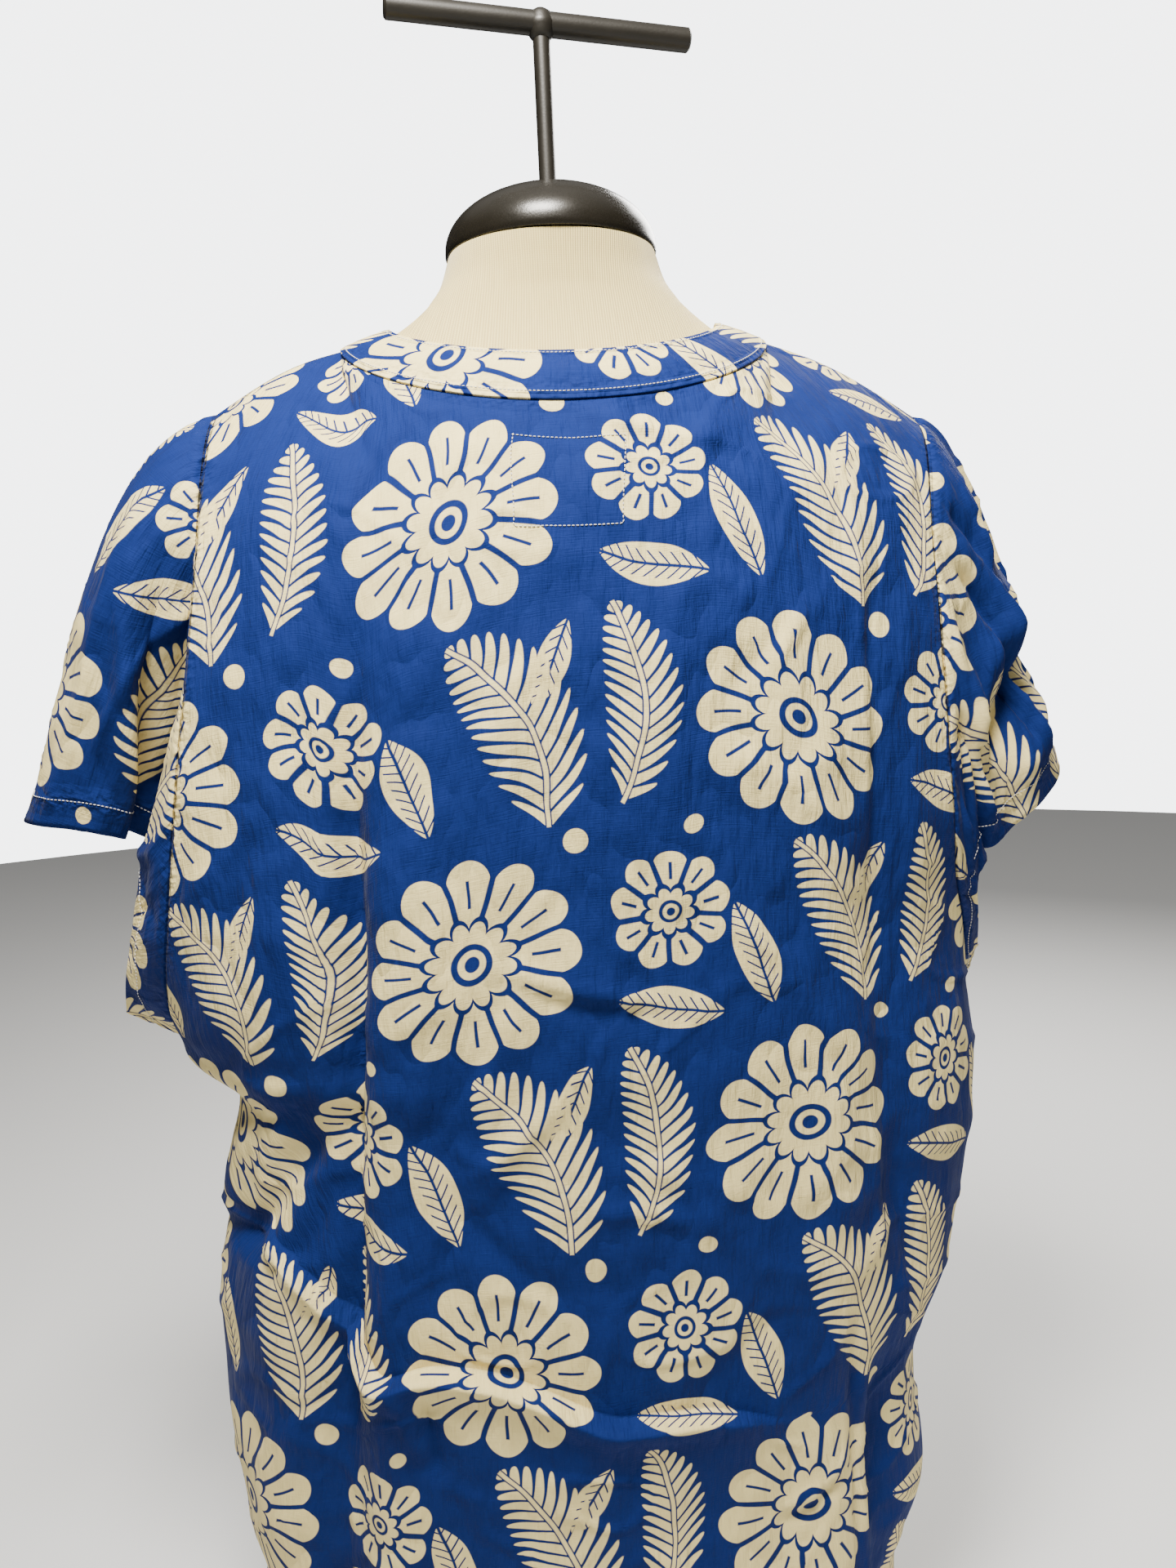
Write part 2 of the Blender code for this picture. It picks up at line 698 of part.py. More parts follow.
def make_form(across, neck_columns, panels, band, band_normals):
    """The limbless torso: it fills the cloth's shoulders from just beneath, and has a bare neck."""
    shape = bmesh.new()
    last = ROWS_SHOULDER + 1
    down = (np.arange(last) / ROWS_SHOULDER)[:, None, None]
    room = WALL / 2 + REST_GAP + FORM_ROOM * down**FORM_ROOM_POWER
    sides = [grid[:last] - normals[:last] * room for grid, normals in panels]
    back, front = sides
    front[0, : neck_columns.start + 1] = back[0, : neck_columns.start + 1]
    front[0, neck_columns.stop - 1 :] = back[0, neck_columns.stop - 1 :]
    for side in sides:
        grid_quads(shape, shape.verts, side, False)
    for edge in (0, -1):
        grid_quads(shape, shape.verts, np.stack([back[:, edge], front[:, edge]], axis=1), False)

    start = np.concatenate([back[0, neck_columns], front[0, neck_columns][-2:0:-1]])
    under_band = band[1:] - band_normals[1:] * (max(BAND_WALLS) / 2 + REST_GAP)
    turn = np.linspace(math.pi, 0, neck_columns.stop - neck_columns.start)
    round_neck = np.concatenate([turn, -turn[-2:0:-1]])
    neck = [start, *under_band, *(oval(row, round_neck) for row in FORM_NECK)]
    top = grid_quads(shape, shape.verts, neck, True)[-1]
    shape.faces.new(top)

    turn = math.pi / 2 - across * FORM_TURN
    round_body = np.concatenate([turn, -turn[::-1]])
    body = [np.concatenate([back[-1], front[-1][::-1]])]
    body += [oval(row, round_body) for row in reversed(FORM)]
    base = grid_quads(shape, shape.verts, body, True)[-1]
    shape.faces.new(base)

    bmesh.ops.remove_doubles(shape, verts=shape.verts, dist=1e-6)
    bmesh.ops.recalc_face_normals(shape, faces=shape.faces)
    mesh = bpy.data.meshes.new("torso_form")
    shape.to_mesh(mesh)
    shape.free()
    mesh.shade_smooth()
    mesh.set_sharp_from_angle(angle=SHARP_ANGLE)
    form = bpy.data.objects.new("torso_form", mesh)
    bpy.context.scene.collection.objects.link(form)
    return form


def cap_rings():
    """The neck cap: a low dome with a flat underside and a short stud for the rod."""
    angles = np.arange(CAP_SIDES) / CAP_SIDES * 2 * math.pi
    profile = [(CAP_RADIUS - CAP_EDGE, CAP_RIM_HEIGHT), (CAP_RADIUS, CAP_RIM_HEIGHT + CAP_EDGE)]
    for i in range(CAP_STEPS):
        turn = i / CAP_STEPS * math.pi / 2
        radius = CAP_RADIUS * math.cos(turn)
        base = CAP_RIM_HEIGHT + CAP_WALL_DROP
        profile.append((radius, base + (CAP_TOP_HEIGHT - base) * math.sin(turn)))
    profile += [(STUD_RADIUS, CAP_TOP_HEIGHT), (STUD_RADIUS, CAP_TOP_HEIGHT + STUD_HEIGHT)]
    return [
        np.stack(
            [BODY_CENTRE_X + radius * np.cos(angles), radius * np.sin(angles), height + 0 * angles],
            axis=-1,
        )
        for radius, height in profile
    ]


def cylinder(name, radius, length, centre, turned=(0.0, 0.0, 0.0)):
    """A round bar, modelled along Z and then turned."""
    bpy.ops.mesh.primitive_cylinder_add(
        vertices=24, radius=radius, depth=length, location=centre, rotation=turned
    )
    bpy.context.object.name = name
    return bpy.context.object


def make_hanger():
    """The welded T that the form hangs by: a rod, a cross bar and the weld where they meet."""
    foot = CAP_TOP_HEIGHT + STUD_HEIGHT + ROD_GAP
    length = BAR_HEIGHT - foot
    hanger = cylinder("hanger_tee", ROD_RADIUS, length, (BODY_CENTRE_X, 0, foot + length / 2))
    crossed = (0.0, math.pi / 2 - BAR_TILT, BAR_YAW)
    bar = cylinder("bar", BAR_RADIUS, BAR_LENGTH, (BODY_CENTRE_X, 0, BAR_HEIGHT), crossed)
    bpy.ops.mesh.primitive_uv_sphere_add(
        segments=16, ring_count=8, radius=WELD_RADIUS, location=(BODY_CENTRE_X, 0, BAR_HEIGHT - WELD_DROP)
    )
    weld = bpy.context.object
    for other in (bar, weld):
        other.hide_render = True
        other.display_type = "WIRE"
        joining = hanger.modifiers.new("join_" + other.name, "BOOLEAN")
        joining.operation = "UNION"
        joining.object = other
    return hanger


def centre_on_origin(objects):
    """Moves the meshes so that the whole part's box is centred over the origin."""
    bpy.context.view_layer.update()
    corners = np.array(
        [obj.matrix_world @ vertex.co for obj in objects if obj.type == "MESH" for vertex in obj.data.vertices]
    )
    middle = (corners.min(axis=0) + corners.max(axis=0)) / 2
    for obj in bpy.data.objects:
        obj.location.x -= middle[0]
        obj.location.y -= middle[1]


def make_garment_and_form():
    """Builds the garment's five pieces, and the form that fills their shoulders."""
    half = PANEL_COLUMNS // 2
    neck_steps = round(half * NECK_SHARE)
    shoulder = np.linspace(1.0, NECK_SHARE, half - neck_steps, endpoint=False)
    neck = np.linspace(-NECK_SHARE, NECK_SHARE, 2 * neck_steps + 1)
    across = np.concatenate([-shoulder, neck, shoulder[::-1]])
    neck_columns = slice(half - neck_steps, half + neck_steps + 1)

    back = panel_grid(1, across)
    front = panel_grid(-1, across)
    left = sleeve_grid(1, back, front)
    right = sleeve_grid(-1, back, front)
    band = band_grid(back, front, neck_columns)

    back_normals = grid_normals(back, False)
    front_normals = -grid_normals(front, False)
    left_normals = -grid_normals(left, True)
    right_normals = grid_normals(right, True)
    band_normals = -grid_normals(band, True)

    last = UNDERARM_ROW + 1
    ring = left.shape[1]
    seams = []
    for columns in (slice(0, half - neck_steps + 1), slice(half + neck_steps, None)):
        seams.append((back_normals, (0, columns), front_normals, (0, columns)))
    for edge in (0, -1):
        seams.append((back_normals, (slice(last - 1, None), edge), front_normals, (slice(last - 1, None), edge)))
    for edge, normals in ((-1, left_normals), (0, right_normals)):
        seams.append((back_normals, (slice(0, last), edge), normals, (0, slice(0, last))))
        up = np.arange(ring, last - 2, -1) % ring
        seams.append((front_normals, (slice(0, last), edge), normals, (0, up)))
    neck_points = 2 * neck_steps + 1
    seams.append((back_normals, (0, neck_columns), band_normals, (0, slice(0, neck_points))))
    up = np.arange(band.shape[1], neck_points - 2, -1) % band.shape[1]
    seams.append((front_normals, (0, neck_columns), band_normals, (0, up)))
    join_normals(seams)

    pieces = [
        wall_mesh("back_panel", parted(back, False), back_normals, WALL, False),
        wall_mesh("front_panel", parted(front, False), front_normals, WALL, False),
        wall_mesh("sleeve_left", parted(left, True), left_normals, WALL, True),
        wall_mesh("sleeve_right", parted(right, True), right_normals, WALL, True),
        wall_mesh("neck_band", parted(band, True, BAND_GAP), band_normals, BAND_WALLS, True),
    ]
    panels = ((back, back_normals), (front, front_normals))
    return pieces, make_form(across, neck_columns, panels, band, band_normals)


def main():
    for obj in list(bpy.data.objects):
        bpy.data.objects.remove(obj, do_unlink=True)
    cloth, form = make_garment_and_form()
    for piece in cloth:
        finish(piece, (0.10, 0.22, 0.52), 0.78, sheen=0.25)
    finish(form, (0.72, 0.60, 0.40), 0.92)
    cap = loft("neck_cap", cap_rings())
    finish(cap, (0.045, 0.036, 0.028), 0.38, 0.7)
    hanger = make_hanger()
    finish(hanger, (0.045, 0.036, 0.028), 0.42, 0.7)
    centre_on_origin([*cloth, form, cap])


main()
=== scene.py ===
"""Looks of the tunic top on its dress form: cloth, print, stitches, jersey and metal. Metres, +Z up.

The garment's front faces -Y and its left side +X. The cloth's middle surfaces come from the same sizes and
formulas as the part's solids, with more points and the finer folds that the cloth shows. Pieces are worked
out on the body's own axis, and moved by the frame's shift when their meshes are made.
"""

import logging
import math
from dataclasses import dataclass, field
from enum import Enum
from typing import NamedTuple

import bmesh
import bpy
import numpy as np
from mathutils import Matrix, Vector


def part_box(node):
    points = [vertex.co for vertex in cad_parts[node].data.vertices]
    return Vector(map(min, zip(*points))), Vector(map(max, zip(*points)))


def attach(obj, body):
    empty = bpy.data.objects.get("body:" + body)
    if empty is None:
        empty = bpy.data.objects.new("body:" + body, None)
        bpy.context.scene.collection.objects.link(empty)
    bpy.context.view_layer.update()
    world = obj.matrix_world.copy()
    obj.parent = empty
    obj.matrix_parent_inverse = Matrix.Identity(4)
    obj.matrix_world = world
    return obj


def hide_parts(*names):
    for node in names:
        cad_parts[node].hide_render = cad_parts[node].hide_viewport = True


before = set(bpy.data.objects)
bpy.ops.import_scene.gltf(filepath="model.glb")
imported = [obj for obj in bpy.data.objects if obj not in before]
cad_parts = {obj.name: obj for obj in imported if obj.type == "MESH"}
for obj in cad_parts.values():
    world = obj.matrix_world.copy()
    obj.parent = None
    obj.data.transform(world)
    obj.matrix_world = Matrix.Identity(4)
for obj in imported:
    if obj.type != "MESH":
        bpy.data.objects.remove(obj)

log = logging.getLogger("tunic_top")
BODY = "root"


class Face(Enum):
    """The two panels of the body, by the way that each one looks along Y."""

    BACK = 1
    FRONT = -1


class Arm(Enum):
    """The two sleeves, by the way that each one points along X."""

    LEFT = 1
    RIGHT = -1


class Held(Enum):
    DRAPED = "draped"
    STRETCHED = "stretched"


class Section(NamedTuple):
    """A level cut through the body: reaches to the left and right edges, depths at the middle, the depth
    of the armhole or side seam on each side, and how far round the cut turns by its edges, in degrees."""

    height: float
    left: float
    right: float
    back: float
    front: float
    seam_left: float
    seam_right: float
    turn: float


class Drape(NamedTuple):
    """A soft ridge (depth over 0) or trough (under 0) down a panel, from its top to its foot."""

    top_x: float
    top_height: float
    foot_x: float
    foot_height: float
    width: float
    depth: float


class Ledge(NamedTuple):
    """A point of the shelf where the cloth folds out over the lower back."""

    x: float
    height: float
    step: float


class HemPoint(NamedTuple):
    """A point of a sleeve's hem: its share of the way from the top to the underarm, and its place."""

    share: float
    reach: float
    depth: float
    height: float


class Lift(NamedTuple):
    """How far a sleeve stands out between seam and hem, at a share of the armhole, and which way."""

    share: float
    amount: float
    swing: float


class FormSection(NamedTuple):
    """A level cut through the torso form, an oval."""

    height: float
    half: float
    back: float
    front: float


class Crease(NamedTuple):
    """A narrow fold between two places, that bows sideways. Ridges have depths over 0.

    Places are x and height on a panel, and armhole share and share of the length on a sleeve."""

    start: tuple[float, float]
    end: tuple[float, float]
    bow: float
    width: float
    depth: float


BODY_SECTIONS = (
    Section(0.745, 0.208, 0.193, 0.110, 0.106, 0.064, 0.062, 50.0),
    Section(0.700, 0.214, 0.194, 0.115, 0.118, 0.070, 0.069, 50.0),
    Section(0.650, 0.222, 0.197, 0.118, 0.130, 0.072, 0.071, 51.0),
    Section(0.600, 0.230, 0.201, 0.119, 0.135, 0.070, 0.069, 54.0),
    Section(0.555, 0.238, 0.208, 0.120, 0.136, 0.062, 0.054, 62.0),
    Section(0.520, 0.245, 0.221, 0.121, 0.136, 0.048, 0.032, 72.0),
    Section(0.490, 0.249, 0.229, 0.121, 0.135, 0.026, 0.014, 82.0),
    Section(0.472, 0.248, 0.232, 0.121, 0.135, 0.000, 0.000, 90.0),
    Section(0.444, 0.219, 0.234, 0.121, 0.134, 0.000, 0.000, 90.0),
    Section(0.388, 0.226, 0.229, 0.121, 0.133, 0.000, 0.000, 90.0),
    Section(0.314, 0.239, 0.215, 0.121, 0.132, 0.000, 0.000, 90.0),
    Section(0.243, 0.238, 0.191, 0.123, 0.132, 0.000, 0.000, 90.0),
    Section(0.170, 0.230, 0.196, 0.124, 0.131, 0.000, 0.000, 90.0),
    Section(0.108, 0.221, 0.179, 0.123, 0.130, 0.000, 0.000, 90.0),
    Section(0.042, 0.217, 0.176, 0.121, 0.128, 0.000, 0.000, 90.0),
)
BACK_DRAPES = (
    Drape(0.128, 0.760, 0.172, 0.060, 0.016, -0.010),
    Drape(0.098, 0.740, 0.140, 0.060, 0.022, 0.007),
    Drape(0.172, 0.700, 0.206, 0.080, 0.018, 0.005),
    Drape(-0.150, 0.780, -0.158, 0.360, 0.018, -0.006),
    Drape(-0.148, 0.300, -0.150, 0.060, 0.014, -0.010),
    Drape(-0.118, 0.640, -0.116, 0.080, 0.022, 0.005),
    Drape(0.158, 0.452, 0.212, 0.366, 0.012, -0.010),
    Drape(0.196, 0.446, 0.232, 0.372, 0.012, 0.006),
)
FRONT_DRAPES = (
    Drape(0.136, 0.720, 0.162, 0.060, 0.018, -0.009),
    Drape(0.104, 0.640, 0.126, 0.060, 0.024, 0.007),
    Drape(0.046, 0.520, 0.052, 0.060, 0.022, -0.005),
    Drape(-0.030, 0.560, -0.044, 0.060, 0.026, 0.006),
    Drape(-0.092, 0.660, -0.100, 0.060, 0.018, -0.007),
    Drape(-0.140, 0.740, -0.158, 0.060, 0.020, 0.006),
)
BACK_LEDGE = (
    Ledge(0.200, 0.385, 0.000),
    Ledge(0.178, 0.364, 0.009),
    Ledge(0.150, 0.330, 0.012),
    Ledge(0.129, 0.310, 0.012),
    Ledge(0.107, 0.316, 0.012),
    Ledge(0.060, 0.305, 0.012),
    Ledge(0.008, 0.281, 0.012),
    Ledge(-0.045, 0.276, 0.010),
    Ledge(-0.085, 0.262, 0.000),
)
LEFT_HEM_BACK = (
    HemPoint(0.00, 0.329, 0.000, 0.612),
    HemPoint(0.14, 0.322, 0.022, 0.611),
    HemPoint(0.28, 0.301, 0.036, 0.609),
    HemPoint(0.38, 0.279, 0.037, 0.605),
    HemPoint(0.45, 0.268, 0.020, 0.600),
    HemPoint(0.53, 0.259, 0.000, 0.592),
    HemPoint(0.61, 0.260, 0.022, 0.577),
    HemPoint(0.72, 0.264, 0.028, 0.555),
    HemPoint(0.86, 0.274, 0.020, 0.523),
    HemPoint(1.00, 0.283, 0.000, 0.491),
)
LEFT_HEM_FRONT = (
    HemPoint(0.00, 0.329, 0.000, 0.612),
    HemPoint(0.18, 0.320, -0.026, 0.613),
    HemPoint(0.34, 0.300, -0.044, 0.612),
    HemPoint(0.50, 0.276, -0.052, 0.604),
    HemPoint(0.63, 0.262, -0.048, 0.582),
    HemPoint(0.81, 0.266, -0.030, 0.540),
    HemPoint(1.00, 0.283, 0.000, 0.491),
)
RIGHT_HEM_BACK = (
    HemPoint(0.00, 0.295, 0.000, 0.616),
    HemPoint(0.16, 0.284, 0.022, 0.600),
    HemPoint(0.34, 0.257, 0.034, 0.581),
    HemPoint(0.52, 0.236, 0.044, 0.565),
    HemPoint(0.68, 0.227, 0.040, 0.547),
    HemPoint(0.85, 0.236, 0.020, 0.521),
    HemPoint(1.00, 0.244, 0.000, 0.497),
)
RIGHT_HEM_FRONT = (
    HemPoint(0.00, 0.295, 0.000, 0.616),
    HemPoint(0.25, 0.279, -0.030, 0.609),
    HemPoint(0.50, 0.251, -0.052, 0.589),
    HemPoint(0.75, 0.238, -0.042, 0.545),
    HemPoint(1.00, 0.244, 0.000, 0.497),
)
LEFT_BACK_LIFTS = (
    Lift(0.00, 0.098, 0.0),
    Lift(0.10, 0.074, 38.0),
    Lift(0.17, 0.036, 60.0),
    Lift(0.25, -0.026, 78.0),
    Lift(0.33, -0.036, 84.0),
    Lift(0.44, 0.020, 76.0),
    Lift(0.70, 0.018, 60.0),
    Lift(1.00, 0.008, 20.0),
)
RIGHT_BACK_LIFTS = (
    Lift(0.00, 0.046, 0.0),
    Lift(0.12, 0.050, 40.0),
    Lift(0.24, 0.016, 70.0),
    Lift(0.36, 0.040, 70.0),
    Lift(0.52, 0.010, 70.0),
    Lift(0.75, 0.016, 60.0),
    Lift(1.00, 0.008, 20.0),
)
FRONT_LIFTS = (
    Lift(0.00, 0.072, 0.0),
    Lift(0.15, 0.060, -40.0),
    Lift(0.40, 0.036, -64.0),
    Lift(0.70, 0.022, -60.0),
    Lift(1.00, 0.008, -20.0),
)
# Share of the armhole, then of the hem, that the same line of the sleeve meets
LEFT_BACK_LINES = ((0.0, 0.12, 0.20, 0.30, 0.42, 1.0), (0.0, 0.30, 0.41, 0.53, 0.62, 1.0))
PLAIN_LINES = ((0.0, 0.20, 0.50, 1.0), (0.0, 0.26, 0.56, 1.0))
# The form from its base up to the shoulder blades, and its bare neck
FORM = (
    FormSection(0.000, 0.164, 0.090, 0.096),
    FormSection(0.060, 0.169, 0.094, 0.100),
    FormSection(0.200, 0.174, 0.099, 0.106),
    FormSection(0.300, 0.171, 0.097, 0.105),
    FormSection(0.400, 0.159, 0.090, 0.101),
    FormSection(0.480, 0.148, 0.084, 0.098),
    FormSection(0.560, 0.156, 0.092, 0.108),
    FormSection(0.640, 0.174, 0.102, 0.120),
    FormSection(0.700, 0.190, 0.104, 0.106),
)
FORM_NECK = (
    FormSection(0.8880, 0.0740, 0.0560, 0.0590),
    FormSection(0.9000, 0.0650, 0.0565, 0.0580),
    FormSection(0.9165, 0.0592, 0.0585, 0.0585),
)

# Narrow folds of the back: fans under the band, the blade's drapes, the waist, the lap below the shelf
BACK_CREASES = (
    Crease((0.010, 0.818), (-0.052, 0.792), 0.004, 0.0045, 0.0022),
    Crease((-0.018, 0.812), (-0.070, 0.800), -0.003, 0.0040, 0.0018),
    Crease((0.060, 0.812), (0.084, 0.776), 0.004, 0.0050, 0.0020),
    Crease((-0.064, 0.806), (-0.096, 0.752), -0.006, 0.0070, -0.0024),
    Crease((0.110, 0.806), (0.132, 0.730), 0.006, 0.0080, -0.0026),
    Crease((0.124, 0.740), (0.150, 0.420), 0.004, 0.0060, -0.0040),
    Crease((0.136, 0.700), (0.164, 0.380), -0.003, 0.0060, 0.0034),
    Crease((0.094, 0.660), (0.118, 0.350), 0.006, 0.0090, 0.0022),
    Crease((-0.136, 0.790), (-0.144, 0.560), 0.003, 0.0070, 0.0034),
    Crease((-0.150, 0.740), (-0.156, 0.500), -0.004, 0.0060, -0.0030),
    Crease((-0.107, 0.715), (-0.080, 0.674), 0.002, 0.0035, 0.0030),
    Crease((-0.100, 0.700), (-0.060, 0.664), -0.003, 0.0050, -0.0022),
    Crease((0.072, 0.541), (-0.040, 0.510), -0.006, 0.0040, 0.0030),
    Crease((0.060, 0.530), (-0.020, 0.505), -0.005, 0.0060, -0.0022),
    Crease((-0.050, 0.560), (-0.120, 0.470), 0.008, 0.0060, 0.0026),
    Crease((-0.090, 0.500), (-0.140, 0.410), 0.006, 0.0055, -0.0028),
    Crease((0.030, 0.470), (0.090, 0.415), 0.004, 0.0060, 0.0028),
    Crease((-0.060, 0.640), (-0.124, 0.590), 0.005, 0.0050, 0.0026),
    Crease((0.096, 0.420), (0.030, 0.350), -0.007, 0.0060, -0.0026),
    Crease((0.020, 0.400), (-0.050, 0.385), 0.004, 0.0050, 0.0022),
    Crease((-0.010, 0.430), (-0.060, 0.360), 0.006, 0.0060, 0.0030),
    Crease((-0.136, 0.440), (-0.146, 0.330), 0.003, 0.0050, 0.0034),
    Crease((-0.160, 0.420), (-0.178, 0.300), -0.003, 0.0060, -0.0034),
    Crease((0.174, 0.460), (0.214, 0.372), 0.004, 0.0050, 0.0050),
    Crease((0.150, 0.430), (0.196, 0.350), 0.005, 0.0050, -0.0040),
    Crease((0.132, 0.720), (0.161, 0.220), 0.003, 0.0042, -0.0062),
    Crease((0.142, 0.700), (0.171, 0.240), 0.003, 0.0060, 0.0040),
    Crease((0.118, 0.312), (0.112, 0.262), 0.001, 0.0032, 0.0050),
    Crease((0.108, 0.314), (0.104, 0.250), -0.001, 0.0036, -0.0044),
    Crease((-0.080, 0.210), (-0.120, 0.240), -0.006, 0.0042, 0.0030),
    Crease((-0.076, 0.200), (-0.118, 0.228), -0.006, 0.0060, -0.0024),
    Crease((-0.127, 0.330), (-0.124, 0.080), 0.002, 0.0046, -0.0044),
    Crease((-0.138, 0.320), (-0.136, 0.070), -0.002, 0.0060, 0.0040),
    Crease((0.060, 0.270), (0.050, 0.090), 0.006, 0.0100, 0.0026),
    Crease((-0.030, 0.250), (-0.036, 0.070), -0.005, 0.0110, -0.0028),
    Crease((0.160, 0.300), (0.170, 0.100), 0.004, 0.0070, 0.0036),
)
FRONT_CREASES = (
    Crease((0.100, 0.800), (0.132, 0.560), 0.006, 0.0080, 0.0030),
    Crease((0.120, 0.760), (0.146, 0.420), -0.004, 0.0070, -0.0036),
    Crease((-0.104, 0.790), (-0.136, 0.540), -0.006, 0.0080, 0.0030),
    Crease((-0.126, 0.740), (-0.150, 0.400), 0.004, 0.0070, -0.0034),
    Crease((0.030, 0.700), (0.090, 0.580), 0.008, 0.0080, 0.0022),
    Crease((-0.030, 0.690), (-0.080, 0.560), -0.008, 0.0080, 0.0020),
    Crease((0.060, 0.500), (-0.050, 0.470), 0.006, 0.0050, 0.0026),
    Crease((0.100, 0.440), (0.020, 0.400), -0.005, 0.0060, -0.0024),
    Crease((0.050, 0.380), (0.060, 0.080), 0.006, 0.0090, 0.0034),
    Crease((-0.010, 0.400), (-0.020, 0.070), -0.006, 0.0100, -0.0034),
    Crease((-0.080, 0.420), (-0.096, 0.080), 0.005, 0.0080, 0.0036),
    Crease((0.130, 0.360), (0.150, 0.090), 0.004, 0.0070, 0.0034),
    Crease((-0.140, 0.380), (-0.150, 0.100), -0.004, 0.0070, 0.0034),
)
LEFT_SLEEVE_CREASES = (
    Crease((0.10, 0.08), (0.16, 1.00), 0.010, 0.0060, 0.0030),
    Crease((0.30, 0.10), (0.22, 0.90), -0.010, 0.0050, 0.0040),
    Crease((0.42, 0.06), (0.36, 1.00), 0.010, 0.0060, -0.0036),
    Crease((0.62, 0.10), (0.52, 1.00), 0.010, 0.0070, 0.0040),
    Crease((0.74, 0.10), (0.70, 0.90), -0.010, 0.0060, -0.0030),
    Crease((0.88, 0.10), (0.84, 1.00), 0.010, 0.0060, 0.0030),
)
RIGHT_SLEEVE_CREASES = (
    Crease((0.08, 0.10), (0.16, 1.00), 0.012, 0.0060, 0.0060),
    Crease((0.18, 0.00), (0.12, 0.80), -0.010, 0.0050, -0.0060),
    Crease((0.24, 0.06), (0.20, 0.86), -0.012, 0.0050, -0.0070),
    Crease((0.34, 0.20), (0.46, 0.96), 0.014, 0.0055, 0.0080),
    Crease((0.44, 0.30), (0.60, 1.30), -0.010, 0.0060, -0.0100),
    Crease((0.50, 0.10), (0.42, 0.80), -0.012, 0.0050, -0.0070),
    Crease((0.58, 0.16), (0.66, 1.00), 0.010, 0.0055, 0.0075),
    Crease((0.80, 0.10), (0.74, 0.94), -0.010, 0.0060, -0.0060),
    Crease((0.00, 0.52), (0.34, 0.50), 0.004, 0.0080, 0.0070),
    Crease((0.00, 0.63), (0.40, 0.70), 0.004, 0.0065, -0.0110),
    Crease((0.00, 0.76), (0.36, 0.84), -0.004, 0.0080, 0.0080),
)
# The left sleeve's back folds to a sharp border with a deep valley behind it
LEFT_FLAP = (
    Crease((0.12, 0.12), (0.49, 1.48), 0.000, 0.0085, 0.0065),
    Crease((0.18, 0.12), (0.54, 1.48), 0.000, 0.0100, -0.0120),
)


def smooth(stations: list[float], values: list[float], at: np.ndarray) -> np.ndarray:
    """Reads a smooth curve through the values, with no overshoot.

    Args:
        stations: where the values stand, rising or falling.
        values: the values there.
        at: where the curve is read.

    Returns:
        The curve's values.
    """
    xs, ys = np.asarray(stations, float), np.asarray(values, float)
    if xs[0] > xs[-1]:
        xs, ys = xs[::-1], ys[::-1]
    steps = np.diff(xs)
    slopes = np.diff(ys) / steps
    tangents = np.zeros_like(ys)
    same_way = slopes[:-1] * slopes[1:] > 0
    safe = np.where(same_way, slopes[:-1] * slopes[1:], 1.0)
    harmonic = 2 * safe / np.where(same_way, slopes[:-1] + slopes[1:], 1.0)
    tangents[1:-1] = np.where(same_way, harmonic, 0.0)
    tangents[0], tangents[-1] = slopes[0], slopes[-1]
    at = np.clip(np.asarray(at, float), xs[0], xs[-1])
    i = np.clip(np.searchsorted(xs, at, side="right") - 1, 0, len(steps) - 1)
    f = (at - xs[i]) / steps[i]
    start = (1 + 2 * f) * (1 - f) ** 2 * ys[i] + f * (1 - f) ** 2 * steps[i] * tangents[i]
    end = f * f * (3 - 2 * f) * ys[i + 1] + f * f * (f - 1) * steps[i] * tangents[i + 1]
    return start + end


def column(table: tuple, name: str, at: np.ndarray, key: str = "height") -> np.ndarray:
    """Reads one named column of a table smoothly.

    Args:
        table: rows with named columns.
        name: the column that is read.
        at: where it is read.
        key: the column that holds the rows' stations.

    Returns:
        The column's values there.
    """
    return smooth([getattr(row, key) for row in table], [getattr(row, name) for row in table], at)


def ease(x: np.ndarray) -> np.ndarray:
    """A soft step: 0 below 0 and 1 above 1."""
    x = np.clip(x, 0.0, 1.0)
    return x * x * (3 - 2 * x)


def unit(vectors: np.ndarray) -> np.ndarray:
    """The vectors at a length of 1."""
    return vectors / np.linalg.norm(vectors, axis=-1, keepdims=True)


def hermite(
    start: np.ndarray, start_way: np.ndarray, end: np.ndarray, end_way: np.ndarray, f: np.ndarray
) -> np.ndarray:
    """Curves that leave along one way and arrive along another.

    Args:
        start: the curves' first points.
        start_way: how they leave.
        end: the curves' last points.
        end_way: how they arrive.
        f: the share of each curve that is read.

    Returns:
        Points of the curves.
    """
    f = f[..., None]
    leaving = (1 + 2 * f) * (1 - f) ** 2 * start + f * (1 - f) ** 2 * start_way
    return leaving + f * f * (3 - 2 * f) * end + f * f * (f - 1) * end_way


def lengths_along(points: np.ndarray) -> np.ndarray:
    """Each point's distance along its line, which runs down the first axis."""
    steps = np.linalg.norm(np.diff(points, axis=0), axis=-1)
    return np.concatenate([np.zeros_like(steps[:1]), np.cumsum(steps, axis=0)])


def softened(values: np.ndarray, times: int) -> np.ndarray:
    """Evens out kinks along the second axis, with the ends held."""
    values = values.copy()
    for _ in range(times):
        values[:, 1:-1] = (values[:, :-2] + 2 * values[:, 1:-1] + values[:, 2:]) / 4
    return values


def grid_normals(grid: np.ndarray, closed: bool) -> np.ndarray:
    """Normals on the side from which a grid's rows run down and its columns run right.

    Args:
        grid: rows by columns of points.
        closed: whether the last column meets the first.

    Returns:
        Unit normals, one for each point.
    """
    if closed:
        along = np.roll(grid, -1, axis=1) - np.roll(grid, 1, axis=1)
    else:
        along = np.gradient(grid, axis=1)
    return unit(np.cross(along, np.gradient(grid, axis=0)))


